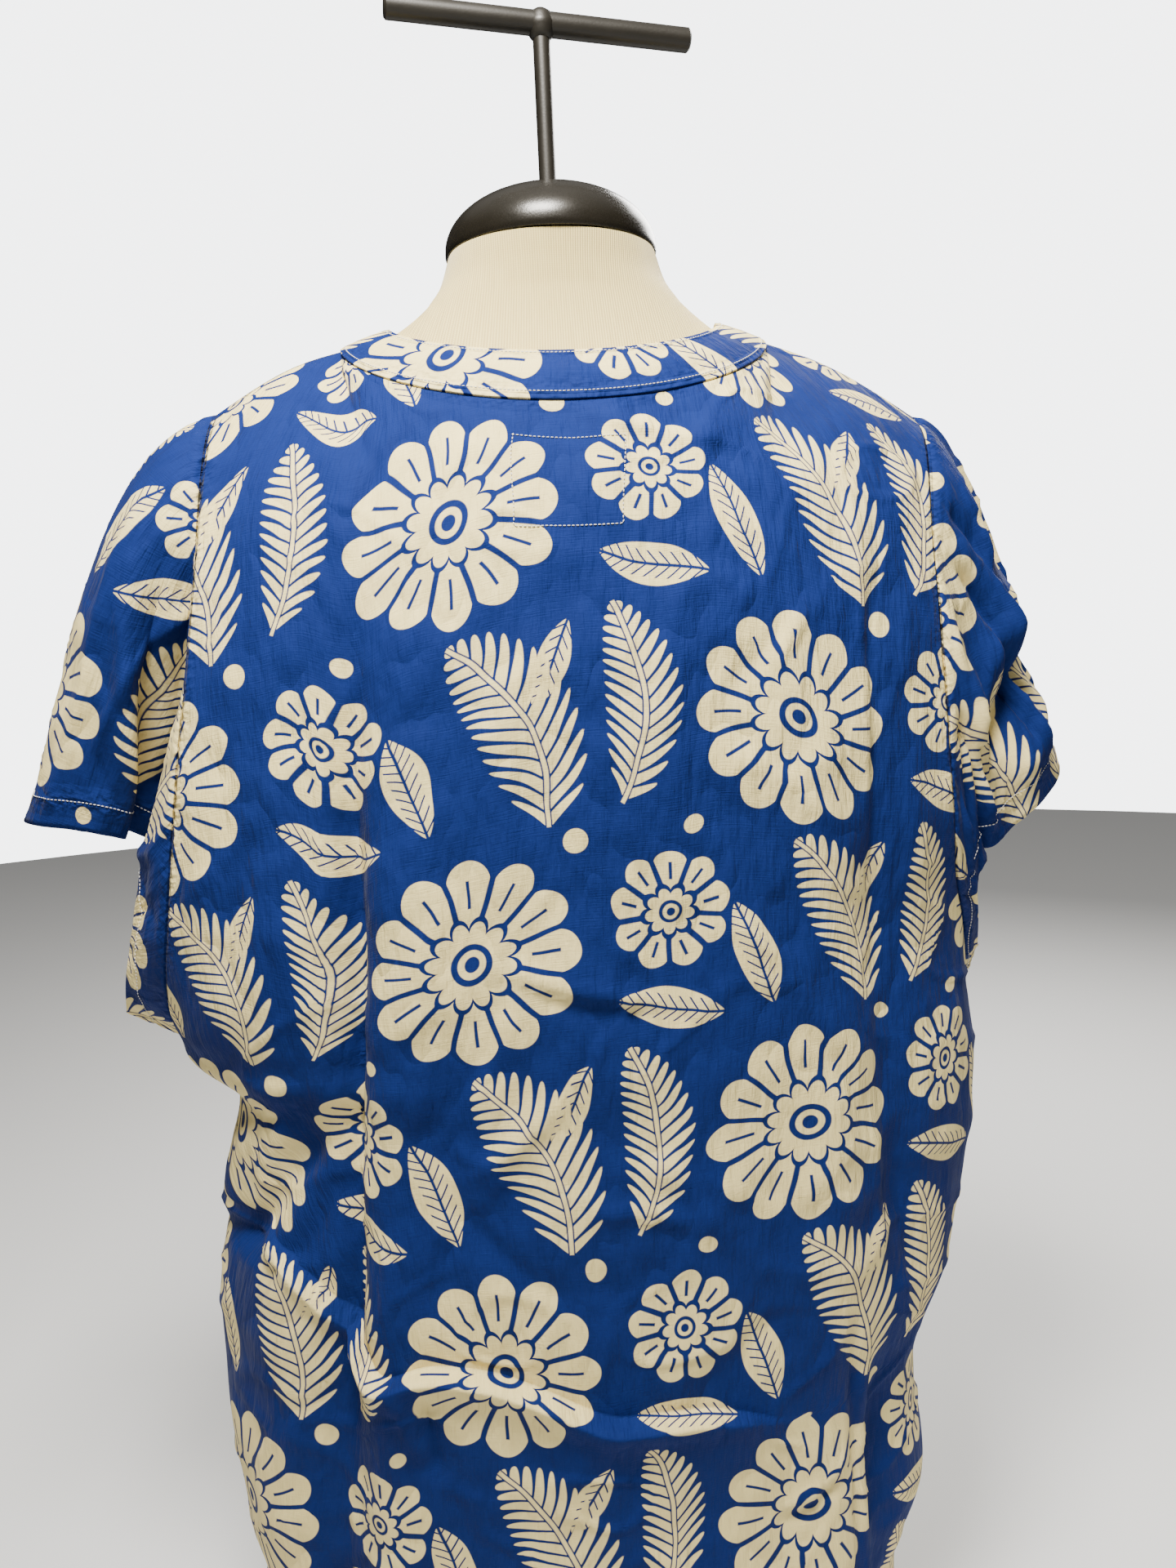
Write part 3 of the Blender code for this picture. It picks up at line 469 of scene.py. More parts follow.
def value_noise(u: np.ndarray, v: np.ndarray, cell: tuple[float, float], seed: int) -> np.ndarray:
    """Smooth noise between -1 and 1 over a surface.

    Args:
        u: places across, in metres.
        v: places down, in metres.
        cell: the noise's cell, across and down.
        seed: which noise.

    Returns:
        The noise at each place.
    """
    table = np.random.default_rng(seed).uniform(-1, 1, (64, 64))
    x, y = u / cell[0] + 31.5, v / cell[1] + 31.5
    i, j = np.floor(x).astype(int), np.floor(y).astype(int)
    fx, fy = ease(x - i), ease(y - j)
    i, j, i2, j2 = i % 64, j % 64, (i + 1) % 64, (j + 1) % 64
    low = table[i, j] * (1 - fx) + table[i2, j] * fx
    high = table[i, j2] * (1 - fx) + table[i2, j2] * fx
    return low * (1 - fy) + high * fy


def crumple(u: np.ndarray, v: np.ndarray, size: float, seed: int) -> np.ndarray:
    """The random small folds of worn cloth: upright waves and thin creases between soft dents.

    Args:
        u: places across, in metres.
        v: places down, in metres.
        size: the folds' spacing.
        seed: which folds.

    Returns:
        A push between about -1 and 1 at each place.
    """
    bend = 0.6 * size * value_noise(u, v, (2.2 * size, 2.6 * size), seed)
    waves = value_noise(u + bend, v, (size, 3.2 * size), seed + 1)
    dents = value_noise(u + v * 0.35, v + bend, (0.8 * size, 1.1 * size), seed + 2)
    creases = 1 - np.abs(value_noise(u + 0.8 * v, v - 0.4 * u, (1.5 * size, 1.2 * size), seed + 3)) * 4
    return 0.55 * waves + 0.3 * dents + 0.35 * np.clip(creases, 0.0, 1.0) ** 2


def crease_push(creases: tuple[Crease, ...], x: np.ndarray, y: np.ndarray, scale: tuple[float, float]) -> np.ndarray:
    """How far narrow folds push a surface out.

    Args:
        creases: the folds.
        x: places across, in the creases' own measure.
        y: places down, in the same measure.
        scale: metres in one of that measure, across and down.

    Returns:
        The push at each place, in metres.
    """
    push = np.zeros_like(x)
    for crease in creases:
        way = np.array([(crease.end[k] - crease.start[k]) * scale[k] for k in (0, 1)])
        length = float(np.linalg.norm(way))
        way /= length
        dx, dy = (x - crease.start[0]) * scale[0], (y - crease.start[1]) * scale[1]
        share = (dx * way[0] + dy * way[1]) / length
        bow = crease.bow * 4 * np.clip(share, 0, 1) * (1 - np.clip(share, 0, 1))
        aside = dx * way[1] - dy * way[0] - bow
        fade = ease(share / 0.28 + 0.1) * ease((1 - share) / 0.34 + 0.1)
        push += crease.depth * fade / np.cosh(1.5 * aside / crease.width)
    return push


@dataclass
class ClothForm:
    """The tunic's middle surfaces: the same forms as its solids, with as many points as asked for."""

    columns: int = 168
    rows: tuple[int, int, int, int] = (48, 66, 130, 22)
    rings: int = 60
    zone_heights: tuple[float, float, float] = (0.745, 0.472, 0.160)
    slit_height: float = 0.108
    hem_height: float = 0.042
    tail_share: float = 0.62
    row_power: float = 1.15
    centre_x: float = 0.008
    neck_share: float = 0.46
    neck_half: float = 0.121
    neck_side_height: float = 0.869
    neck_depths: dict[Face, float] = field(default_factory=lambda: {Face.BACK: 0.082, Face.FRONT: 0.096})
    neck_heights: dict[Face, float] = field(default_factory=lambda: {Face.BACK: 0.824, Face.FRONT: 0.796})
    dip_power: float = 1.15
    band_half: float = 0.094
    band_side_height: float = 0.8800
    band_depths: dict[Face, float] = field(default_factory=lambda: {Face.BACK: 0.066, Face.FRONT: 0.078})
    band_heights: dict[Face, float] = field(default_factory=lambda: {Face.BACK: 0.8515, Face.FRONT: 0.822})
    band_belly: float = 0.0016
    band_rise: float = 0.045
    seam_end_back: float = 0.022
    seam_end_left: tuple[float, float] = (0.200, 0.8280)
    seam_end_right: tuple[float, float] = (0.199, 0.8170)
    shoulder_crown: float = 0.006
    front_seam_share: float = 0.85
    boxiness: float = 0.9
    back_pitches: tuple[float, float, float] = (58.0, 34.0, 26.0)
    front_pitches: tuple[float, float, float] = (52.0, 12.0, -44.0)
    back_pull: float = 1.15
    front_pull: float = 1.35
    blade_pull: float = 1.25
    blade_step: float = 0.01
    drape_start: float = 0.35
    drape_end: float = 0.2
    drape_reach: float = 1.12
    fold_margin: float = 0.1
    ledge_rise: float = 0.007
    ledge_share: float = 0.5
    ledge_crowding: float = 0.3
    ledge_fall: float = 0.055
    swell_power: float = 0.6
    falls: dict[Arm, float] = field(default_factory=lambda: {Arm.LEFT: 1.5, Arm.RIGHT: 2.2})
    lift_lean: float = 0.55

    @property
    def underarm_row(self) -> int:
        """The panels' row where the armhole ends."""
        return self.rows[0] + self.rows[1]

    @property
    def neck_steps(self) -> int:
        """Columns from a panel's middle to the end of its neck edge."""
        return round(self.columns // 2 * self.neck_share)

    @property
    def neck_columns(self) -> slice:
        """The panels' columns that start at the neck edge."""
        half = self.columns // 2
        return slice(half - self.neck_steps, half + self.neck_steps + 1)

    def across(self) -> np.ndarray:
        """The columns' places across a panel, from -1 to 1."""
        half = self.columns // 2
        shoulder = np.linspace(1.0, self.neck_share, half - self.neck_steps, endpoint=False)
        neck = np.linspace(-self.neck_share, self.neck_share, 2 * self.neck_steps + 1)
        return np.concatenate([-shoulder, neck, shoulder[::-1]])

    def section_point(self, face: Face, across: np.ndarray, height: np.ndarray) -> np.ndarray:
        """A panel's middle surface without its folds.

        Args:
            face: which panel.
            across: places across it, from -1 to 1.
            height: heights.

        Returns:
            The points there.
        """
        left = across > 0
        reach = np.where(left, column(BODY_SECTIONS, "left", height), column(BODY_SECTIONS, "right", height))
        seam = np.where(
            left, column(BODY_SECTIONS, "seam_left", height), column(BODY_SECTIONS, "seam_right", height)
        )
        if face is Face.FRONT:
            seam = seam * self.front_seam_share
        depth = column(BODY_SECTIONS, face.name.lower(), height)
        turn = np.radians(column(BODY_SECTIONS, "turn", height))
        angle = turn * across
        rise = np.clip((np.cos(angle) - np.cos(turn)) / (1 - np.cos(turn)), 0.0, 1.0)
        x = self.centre_x + (reach - self.centre_x * np.sign(across)) * np.sin(angle) / np.sin(turn)
        y = face.value * (seam + (depth - seam) * rise**self.boxiness)
        return np.stack([x, y, height + 0 * x], axis=-1)

    def top_edge(self, face: Face, across: np.ndarray) -> np.ndarray:
        """A panel's top edge: the neck's oval in the middle and a shoulder seam on each side.

        Args:
            face: which panel.
            across: places across it.

        Returns:
            The edge's points.
        """
        angle = np.clip(across / self.neck_share, -1, 1) * math.pi / 2
        dip = (self.neck_heights[face] - self.neck_side_height) * np.cos(angle) ** self.dip_power
        neck = [
            self.centre_x + self.neck_half * np.sin(angle),
            face.value * self.neck_depths[face] * np.cos(angle),
            self.neck_side_height + dip,
        ]
        share = np.clip((np.abs(across) - self.neck_share) / (1 - self.neck_share), 0.0, 1.0)
        end_x = np.where(across > 0, self.seam_end_left[0], -self.seam_end_right[0])
        end_z = np.where(across > 0, self.seam_end_left[1], self.seam_end_right[1])
        start_x = self.centre_x + self.neck_half * np.sign(across)
        crown = self.shoulder_crown * np.sin(math.pi * share)
        shoulder = [
            start_x + (end_x - start_x) * share,
            self.seam_end_back * share,
            self.neck_side_height + (end_z - self.neck_side_height) * share + crown,
        ]
        at_neck = (np.abs(across) <= self.neck_share)[..., None]
        return np.where(at_neck, np.stack(neck, axis=-1), np.stack(shoulder, axis=-1))

    def shoulder_zone(self, face: Face, across: np.ndarray, share: float) -> np.ndarray:
        """The part of a panel above the shoulder blades.

        Args:
            face: which panel.
            across: places across it.
            share: how far down the zone.

        Returns:
            The points of one row.
        """
        start = self.top_edge(face, across)
        end = self.section_point(face, across, self.zone_heights[0] + 0 * across)
        below = self.section_point(face, across, self.zone_heights[0] - self.blade_step + 0 * across)
        drop = start[..., 2] - end[..., 2]
        pitches = self.back_pitches if face is Face.BACK else self.front_pitches
        pitch = np.radians(smooth([0.0, self.neck_share, 1.0], pitches, np.abs(across)))
        length = drop * (self.back_pull if face is Face.BACK else self.front_pull)
        start_way = [0 * across, face.value * length * np.cos(pitch), -length * np.sin(pitch)]
        end_way = (below - end) / self.blade_step * (drop * self.blade_pull)[..., None]
        return hermite(start, np.stack(start_way, axis=-1), end, end_way, share + 0 * across)

    def tail_height(self, across: np.ndarray) -> np.ndarray:
        """The height of the shirt-tail hem: low in the middle, and curved up to the side slits."""
        share = np.clip((np.abs(across) - self.tail_share) / (1 - self.tail_share), 0.0, 1.0)
        rise = 1 - np.sqrt(np.clip(1 - share**2, 0.0, 1.0))
        return self.hem_height + (self.slit_height - self.hem_height) * rise

    def fold_push(self, face: Face, x: np.ndarray, height: np.ndarray) -> np.ndarray:
        """How far a panel's large folds push it out.

        Args:
            face: which panel.
            x: places across, in metres.
            height: heights.

        Returns:
            The push at each place.
        """
        push = np.zeros_like(x)
        for drape in BACK_DRAPES if face is Face.BACK else FRONT_DRAPES:
            down = (drape.top_height - height) / (drape.top_height - drape.foot_height)
            line = drape.top_x + (drape.foot_x - drape.top_x) * np.clip(down, 0.0, 1.0)
            fade = ease(down / self.drape_start) * ease((self.drape_reach - down) / self.drape_end)
            push += drape.depth * fade * np.exp(-(((x - line) / drape.width) ** 2))
        if face is Face.BACK:
            push += self.shelf(x, height)
        return push

    def shelf(self, x: np.ndarray, height: np.ndarray) -> np.ndarray:
        """The shelf over the lower back: a sharp step out, a rolled lip, and a slow fall below it."""
        below = column(BACK_LEDGE, "height", x, "x") - height
        step = column(BACK_LEDGE, "step", x, "x")
        rise = ease((below + self.ledge_rise / 2) / (0.42 * self.ledge_rise))
        past = np.clip(below, 0.0, None)
        return step * rise * (0.35 * np.exp(-((past / 0.011) ** 2)) + 0.80 * np.exp(-past / self.ledge_fall))

    def side_heights(self, face: Face, across: np.ndarray, share: float) -> np.ndarray:
        """The heights of a row between the underarm and the tail. The back's rows close up round the shelf."""
        top, foot = self.zone_heights[1:]
        if face is Face.FRONT:
            return top + (foot - top) * share + 0 * across
        level = 0.3 + 0 * across
        for _ in range(3):
            level = column(BACK_LEDGE, "height", self.section_point(face, across, level)[:, 0], "x")
        if share < self.ledge_share:
            away, end = 1 - share / self.ledge_share, top
        else:
            away, end = (share - self.ledge_share) / (1 - self.ledge_share), foot
        return level + (end - level) * (self.ledge_crowding * away + (1 - self.ledge_crowding) * away**2)

    def panel_rows(self) -> list[tuple[int, float]]:
        """The rows from top to hem: the zone that each lies in, and its share of that zone."""
        top, armhole, side, tail = self.rows
        rows = [(0, i / top) for i in range(top)]
        rows += [(1, math.sin(i / armhole * math.pi / 2) ** self.row_power) for i in range(armhole)]
        rows += [(2, i / side) for i in range(side)]
        return rows + [(3, i / tail) for i in range(tail + 1)]

    def panel(self, face: Face, creases: tuple[Crease, ...] = (), crumpled: float = 0.0) -> np.ndarray:
        """A panel's middle surface, with its folds.

        Args:
            face: which panel.
            creases: its narrow folds.
            crumpled: the depth of its small random folds.

        Returns:
            Rows by columns of points.
        """
        across = self.across()
        inside = ease((1 - np.abs(across)) / self.fold_margin)
        rows = []
        for zone, share in self.panel_rows():
            if zone == 0:
                points = self.shoulder_zone(face, across, share)
            else:
                top = self.zone_heights[zone - 1]
                foot = (*self.zone_heights[1:], self.tail_height(across))[zone - 1]
                level = top + (foot - top) * share + 0 * across
                level = self.side_heights(face, across, share) if zone == 2 else level
                points = self.section_point(face, across, level)
            x, height = points[:, 0].copy(), points[:, 2].copy()
            turn = np.radians(column(BODY_SECTIONS, "turn", height))
            push = self.fold_push(face, x, height)
            fine = crease_push(creases, x, height, (1.0, 1.0)) if creases else 0.0
            if crumpled:
                fine = fine + crumpled * crumple(x, height, 0.030, 10 + face.value)
            if zone == 0:
                fine = np.maximum(fine * ease(np.array(share / 0.12)), -0.0006 - 0.0070 * share**1.6)
            push = (push + fine) * inside
            points[:, 0] += push * np.sin(turn * across)
            points[:, 1] += face.value * push * np.cos(turn * across)
            rows.append(points)
        return np.array(rows)

    def sleeve_half(
        self, seam: np.ndarray, arm: Arm, hem_table: tuple, lifts: tuple, lines: tuple
    ) -> np.ndarray:
        """Half a sleeve, from its top line to the underarm.

        Args:
            seam: the armhole's points, from the top down.
            arm: which sleeve.
            hem_table: the hem's points.
            lifts: how the sleeve stands out between seam and hem.
            lines: which share of the hem each share of the armhole runs to.

        Returns:
            Rings by points, from the seam to the hem.
        """
        share = lengths_along(seam)
        share = share / share[-1]
        at = smooth(lines[0], lines[1], share)
        hem = [arm.value * column(hem_table, "reach", at, "share")]
        hem += [column(hem_table, name, at, "share") for name in ("depth", "height")]
        hem = np.stack(hem, axis=-1)
        swing = np.radians(column(lifts, "swing", share, "share"))
        way = [arm.value * np.cos(swing), np.sin(swing), self.lift_lean * np.cos(swing)]
        lift = unit(np.stack(way, axis=-1)) * column(lifts, "amount", share, "share")[:, None]
        f = (np.arange(self.rings + 1) / self.rings)[:, None, None]
        return seam * (1 - f) + hem * f + lift * (f**self.swell_power * (1 - f) ** self.falls[arm])

    def sleeve(self, arm: Arm, back: np.ndarray, front: np.ndarray) -> np.ndarray:
        """A whole sleeve. Its ring starts at the underarm, runs up the front and down the back.

        Args:
            arm: which sleeve.
            back: the back panel's surface.
            front: the front panel's surface.

        Returns:
            Rings by points, from the seam to the hem.
        """
        left = arm is Arm.LEFT
        edge = -1 if left else 0
        seams = [panel[: self.underarm_row + 1, edge] for panel in (back, front)]
        hems = (LEFT_HEM_BACK, LEFT_HEM_FRONT) if left else (RIGHT_HEM_BACK, RIGHT_HEM_FRONT)
        lifts = LEFT_BACK_LIFTS if left else RIGHT_BACK_LIFTS
        lines = LEFT_BACK_LINES if left else PLAIN_LINES
        back_half = self.sleeve_half(seams[0], arm, hems[0], lifts, lines)
        front_half = self.sleeve_half(seams[1], arm, hems[1], FRONT_LIFTS, PLAIN_LINES)
        return np.concatenate([front_half[:, :0:-1], back_half[:, :-1]], axis=1)

    def band_edges(self, back: np.ndarray, front: np.ndarray) -> tuple[np.ndarray, np.ndarray, np.ndarray]:
        """The neck band's lines round the neck.

        Args:
            back: the back panel's surface.
            front: the front panel's surface.

        Returns:
            The edge on the panels, the middle and the free edge.
        """
        low = np.concatenate([back[0, self.neck_columns], front[0, self.neck_columns][-2:0:-1]])
        angle = np.linspace(-math.pi / 2, math.pi / 2, 2 * self.neck_steps + 1)
        halves = []
        for face in Face:
            dip = (self.band_heights[face] - self.band_side_height) * np.cos(angle) ** self.dip_power
            y = face.value * self.band_depths[face] * np.cos(angle)
            x = self.centre_x + self.band_half * np.sin(angle)
            halves.append(np.stack([x, y, self.band_side_height + dip], axis=-1))
        high = np.concatenate([halves[0], halves[1][-2:0:-1]])
        middle = (low + high) / 2
        outward = middle - [self.centre_x, 0.0, 0.0]
        outward[:, 2] = self.band_rise
        return low, middle + self.band_belly * unit(outward), high


@dataclass
class Surface:
    """A grid of points with the places on the cloth that they were cut from, in metres."""

    grid: np.ndarray
    closed: bool
    outward: float
    u: np.ndarray
    v: np.ndarray
    seam_distance: np.ndarray

    def normals(self) -> np.ndarray:
        """The outward normals, one for each point."""
        return self.outward * grid_normals(self.grid, self.closed)

    def push(self, amount: np.ndarray) -> None:
        """Moves the surface out along its normals, by an amount for each point."""
        self.grid = self.grid + self.normals() * amount[..., None]

    def path(self, rows: np.ndarray, columns: np.ndarray, lift: float) -> np.ndarray:
        """Points of a line that lies on the surface.

        Args:
            rows: the line's places down the grid, in rows.
            columns: its places across, in columns.
            lift: how far above the surface it lies.

        Returns:
            The line's points.
        """
        surface = self.grid + self.normals() * lift
        count = surface.shape[1]
        i = np.clip(np.floor(rows).astype(int), 0, surface.shape[0] - 2)
        j = np.floor(columns).astype(int)
        if not self.closed:
            j = np.clip(j, 0, count - 2)
        fi, fj = (rows - i)[:, None], (columns - j)[:, None]
        upper = surface[i, j % count] * (1 - fj) + surface[i, (j + 1) % count] * fj
        lower = surface[i + 1, j % count] * (1 - fj) + surface[i + 1, (j + 1) % count] * fj
        return upper * (1 - fi) + lower * fi

    def mesh_object(self, name: str, shift: Vector) -> bpy.types.Object:
        """Makes the surface a mesh, with its UV map and its distance to the nearest seam.

        Args:
            name: the piece's name.
            shift: how far the body's axis lies from the origin.

        Returns:
            The new object.
        """
        rows, count = self.grid.shape[:2]
        spans = count if self.closed else count - 1
        i, j = np.meshgrid(np.arange(rows - 1), np.arange(spans), indexing="ij")
        i, j = i.ravel(), j.ravel()
        corners = [(i, j), (i, j + 1), (i + 1, j + 1), (i + 1, j)]
        if self.outward < 0:
            corners.reverse()
        faces = np.stack([a * count + b % count for a, b in corners], axis=-1)
        mesh = bpy.data.meshes.new(name)
        mesh.from_pydata((self.grid.reshape(-1, 3) + np.array(shift)).tolist(), [], faces.tolist())
        uv = mesh.uv_layers.new(name="cloth")
        places = np.stack([np.stack([self.u[a, b], self.v[a, b]], axis=-1) for a, b in corners], axis=1)
        uv.data.foreach_set("uv", places.astype(np.float32).ravel())
        near = mesh.attributes.new("seam_distance", "FLOAT", "POINT")
        near.data.foreach_set("value", self.seam_distance[:, :count].astype(np.float32).ravel())
        mesh.shade_smooth()
        obj = bpy.data.objects.new(name, mesh)
        bpy.context.scene.collection.objects.link(obj)
        return obj


class Signal:
    """A number that a material works out at each point. Arithmetic on it adds math nodes."""

    def __init__(self, tree: bpy.types.NodeTree, socket: bpy.types.NodeSocket) -> None:
        """Wraps a socket of a material's tree."""
        self.tree = tree
        self.socket = socket

    def math(self, operation: str, *others: "Signal | float", clamp: bool = False) -> "Signal":
        """Adds one math node.

        Args:
            operation: Blender's name for it.
            others: its second and third inputs.
            clamp: whether the result stays between 0 and 1.

        Returns:
            The node's result.
        """
        node = self.tree.nodes.new("ShaderNodeMath")
        node.operation, node.use_clamp = operation, clamp
        for slot, value in zip(node.inputs, (self, *others)):
            if isinstance(value, Signal):
                self.tree.links.new(value.socket, slot)
            else:
                slot.default_value = value
        return Signal(self.tree, node.outputs[0])

    def __add__(self, other: "Signal | float") -> "Signal":
        """The sum."""
        return self.math("ADD", other)

    def __sub__(self, other: "Signal | float") -> "Signal":
        """The difference."""
        return self.math("SUBTRACT", other)

    def __mul__(self, other: "Signal | float") -> "Signal":
        """The product."""
        return self.math("MULTIPLY", other)

    def __truediv__(self, other: "Signal | float") -> "Signal":
        """The quotient."""
        return self.math("DIVIDE", other)

    def __pow__(self, power: float) -> "Signal":
        """The power."""
        return self.math("POWER", power)

    def __abs__(self) -> "Signal":
        """The size without its sign."""
        return self.math("ABSOLUTE")

    def maximum(self, other: "Signal | float") -> "Signal":
        """The larger of two."""
        return self.math("MAXIMUM", other)

    def minimum(self, other: "Signal | float") -> "Signal":
        """The smaller of two."""
        return self.math("MINIMUM", other)

    def fraction(self) -> "Signal":
        """The part after the point."""
        return self.math("FRACT")

    def sine(self) -> "Signal":
        """The sine."""
        return self.math("SINE")

    def cosine(self) -> "Signal":
        """The cosine."""
        return self.math("COSINE")

    def root(self) -> "Signal":
        """The square root."""
        return self.math("SQRT")

    def inverted(self) -> "Signal":
        """1 less the number."""
        return self * -1.0 + 1.0

    def within(self, edge: "Signal | float", blur: float = 0.0005) -> "Signal":
        """1 where the number is below an edge, 0 above it, with a soft step of a print's ink between."""
        return ((self - edge) / -blur).math("ADD", 0.5, clamp=True)


@dataclass(frozen=True)
class Place:
    """A point of the cloth as a print sees it, in metres."""

    u: Signal
    v: Signal

    def seen_from(self, u: float, v: float, turn: float = 0.0) -> "Place":
        """The place measured from another point, with the axes turned by an angle in degrees."""
        du, dv = self.u - u, self.v - v
        c, s = math.cos(math.radians(turn)), math.sin(math.radians(turn))
        return Place(du * c + dv * s, dv * c - du * s)

    def reach(self) -> Signal:
        """The distance from the origin."""
        return (self.u * self.u + self.v * self.v).root()

    def bearing(self) -> Signal:
        """The angle round the origin."""
        return self.v.math("ARCTAN2", self.u)


@dataclass(frozen=True)
class Rosette:
    """A round flower with two rings of petals."""

    u: float
    v: float
    radius: float
    petals: int
    turn: float = 0.0
    ink: float = 0.0015

    def mask(self, cell: Place) -> Signal:
        """1 where the flower leaves the cloth bare."""
        here = cell.seen_from(self.u, self.v, self.turn)
        reach, bearing = here.reach(), here.bearing() * (self.petals / 2)
        lobe, slit = abs(bearing.cosine()), abs(bearing.sine())
        flower = reach.within((lobe**0.55) * (0.26 * self.radius) + 0.74 * self.radius)
        split = (reach * lobe * (2 / self.petals)).within(self.ink).minimum(
            (reach * -1.0).within(-0.46 * self.radius)
        )
        vein = (reach * slit * (2 / self.petals)).within(0.6 * self.ink).minimum(
            abs(reach - 0.68 * self.radius).within(0.14 * self.radius)
        )
        inner = abs(reach - (slit**0.7) * (0.12 * self.radius) - 0.32 * self.radius).within(self.ink)
        heart = reach.within(0.19 * self.radius)
        eye = abs(reach - 0.10 * self.radius).within(0.030 * self.radius)
        return (flower - split - vein - inner - heart).maximum(eye)


@dataclass(frozen=True)
class Frond:
    """A bent stem with rounded leaflets on both sides."""

    u: float
    v: float
    bend: float
    turn: float
    span: float
    width: float
    pitch: float = 0.0085

    def mask(self, cell: Place) -> Signal:
        """1 where the frond leaves the cloth bare."""
        here = cell.seen_from(self.u, self.v, self.turn)
        half = math.radians(self.span) * self.bend / 2
        along = here.bearing() * self.bend
        side = abs(here.reach() - self.bend)
        taper = ((along / half) * (along / half)).inverted().maximum(0.0) ** 0.6
        out = side / (taper * self.width).maximum(0.0004)
        place = abs(((along + side * 0.85) / self.pitch).fraction() - 0.5)
        plump = ((out * out).inverted().maximum(0.0) ** 0.45) * 0.40
        leaflet = (place - plump).within(0.0, 0.07).minimum(out.within(1.0, 0.04))
        stem = side.within(0.0011).minimum(abs(along).within(half))
        rib = side.within(0.0019)
        return (leaflet - rib).maximum(stem)


@dataclass(frozen=True)
class Leaf:
    """A single pointed leaf with a midrib and side veins."""

    u: float
    v: float
    turn: float
    length: float
    width: float

    def mask(self, cell: Place) -> Signal:
        """1 where the leaf leaves the cloth bare."""
        here = cell.seen_from(self.u, self.v, self.turn)
        share = (here.u / self.length).math("ADD", 0.0, clamp=True)
        side = abs(here.v)
        body = side.within(((share * math.pi).sine() ** 0.8) * self.width)
        veins = abs(((here.u - side) / 0.0060).fraction() - 0.5).within(0.10, 0.06)
        inked = (veins * side.within(0.62 * self.width)).maximum(side.within(0.0008))
        return body - inked


@dataclass(frozen=True)
class LeafPrint:
    """The cloth's print: rosettes, fronds and leaves left bare in the ink, in a half-drop repeat."""

    width: float = 0.175
    height: float = 0.230
    warp: float = 0.0016
    motifs: tuple = (
        Rosette(-0.022, 0.050, 0.056, 12),
        Rosette(0.050, -0.048, 0.032, 9, 12.0),
        Frond(0.045, -0.105, 0.110, 155.0, 60.0, 0.026),
        Frond(0.165, 0.060, 0.105, 180.0, 58.0, 0.019, 0.0075),
        Leaf(-0.004, -0.108, 72.0, 0.062, 0.0115),
        Leaf(0.022, -0.108, 14.0, 0.060, 0.0110),
        Leaf(-0.080, -0.012, -62.0, 0.046, 0.0085),
    )
    buds: tuple[tuple[float, float, float], ...] = ((-0.078, 0.106, 0.0065), (0.037, -0.004, 0.0050))

    def mask(self, tree: bpy.types.NodeTree) -> Signal:
        """Adds the print to a material.

        Args:
            tree: the material's nodes.

        Returns:
            1 on bare cloth and 0 on ink.
        """
        nodes, links = tree.nodes, tree.links
        cloth = nodes.new("ShaderNodeUVMap")
        cloth.uv_map = "cloth"
        wander = nodes.new("ShaderNodeTexNoise")
        wander.inputs["Scale"].default_value = 26.0
        wander.inputs["Detail"].default_value = 1.0
        links.new(cloth.outputs["UV"], wander.inputs["Vector"])
        parts = nodes.new("ShaderNodeSeparateXYZ")
        links.new(cloth.outputs["UV"], parts.inputs[0])
        shifts = nodes.new("ShaderNodeSeparateColor")
        links.new(wander.outputs["Color"], shifts.inputs[0])
        u = Signal(tree, parts.outputs[0]) + (Signal(tree, shifts.outputs[0]) - 0.5) * (4 * self.warp)
        v = Signal(tree, parts.outputs[1]) + (Signal(tree, shifts.outputs[1]) - 0.5) * (4 * self.warp)
        across = u / self.width + 20.0
        odd = (across.math("FLOOR") * 0.5).fraction()
        down = v / self.height + odd + 20.0
        cell = Place((across.fraction() - 0.5) * self.width, (down.fraction() - 0.5) * self.height)
        bare = self.motifs[0].mask(cell)
        for motif in self.motifs[1:]:
            bare = bare.maximum(motif.mask(cell))
        for bud_u, bud_v, radius in self.buds:
            bare = bare.maximum(cell.seen_from(bud_u, bud_v).reach().within(radius))
        return bare.math("ADD", 0.0, clamp=True)


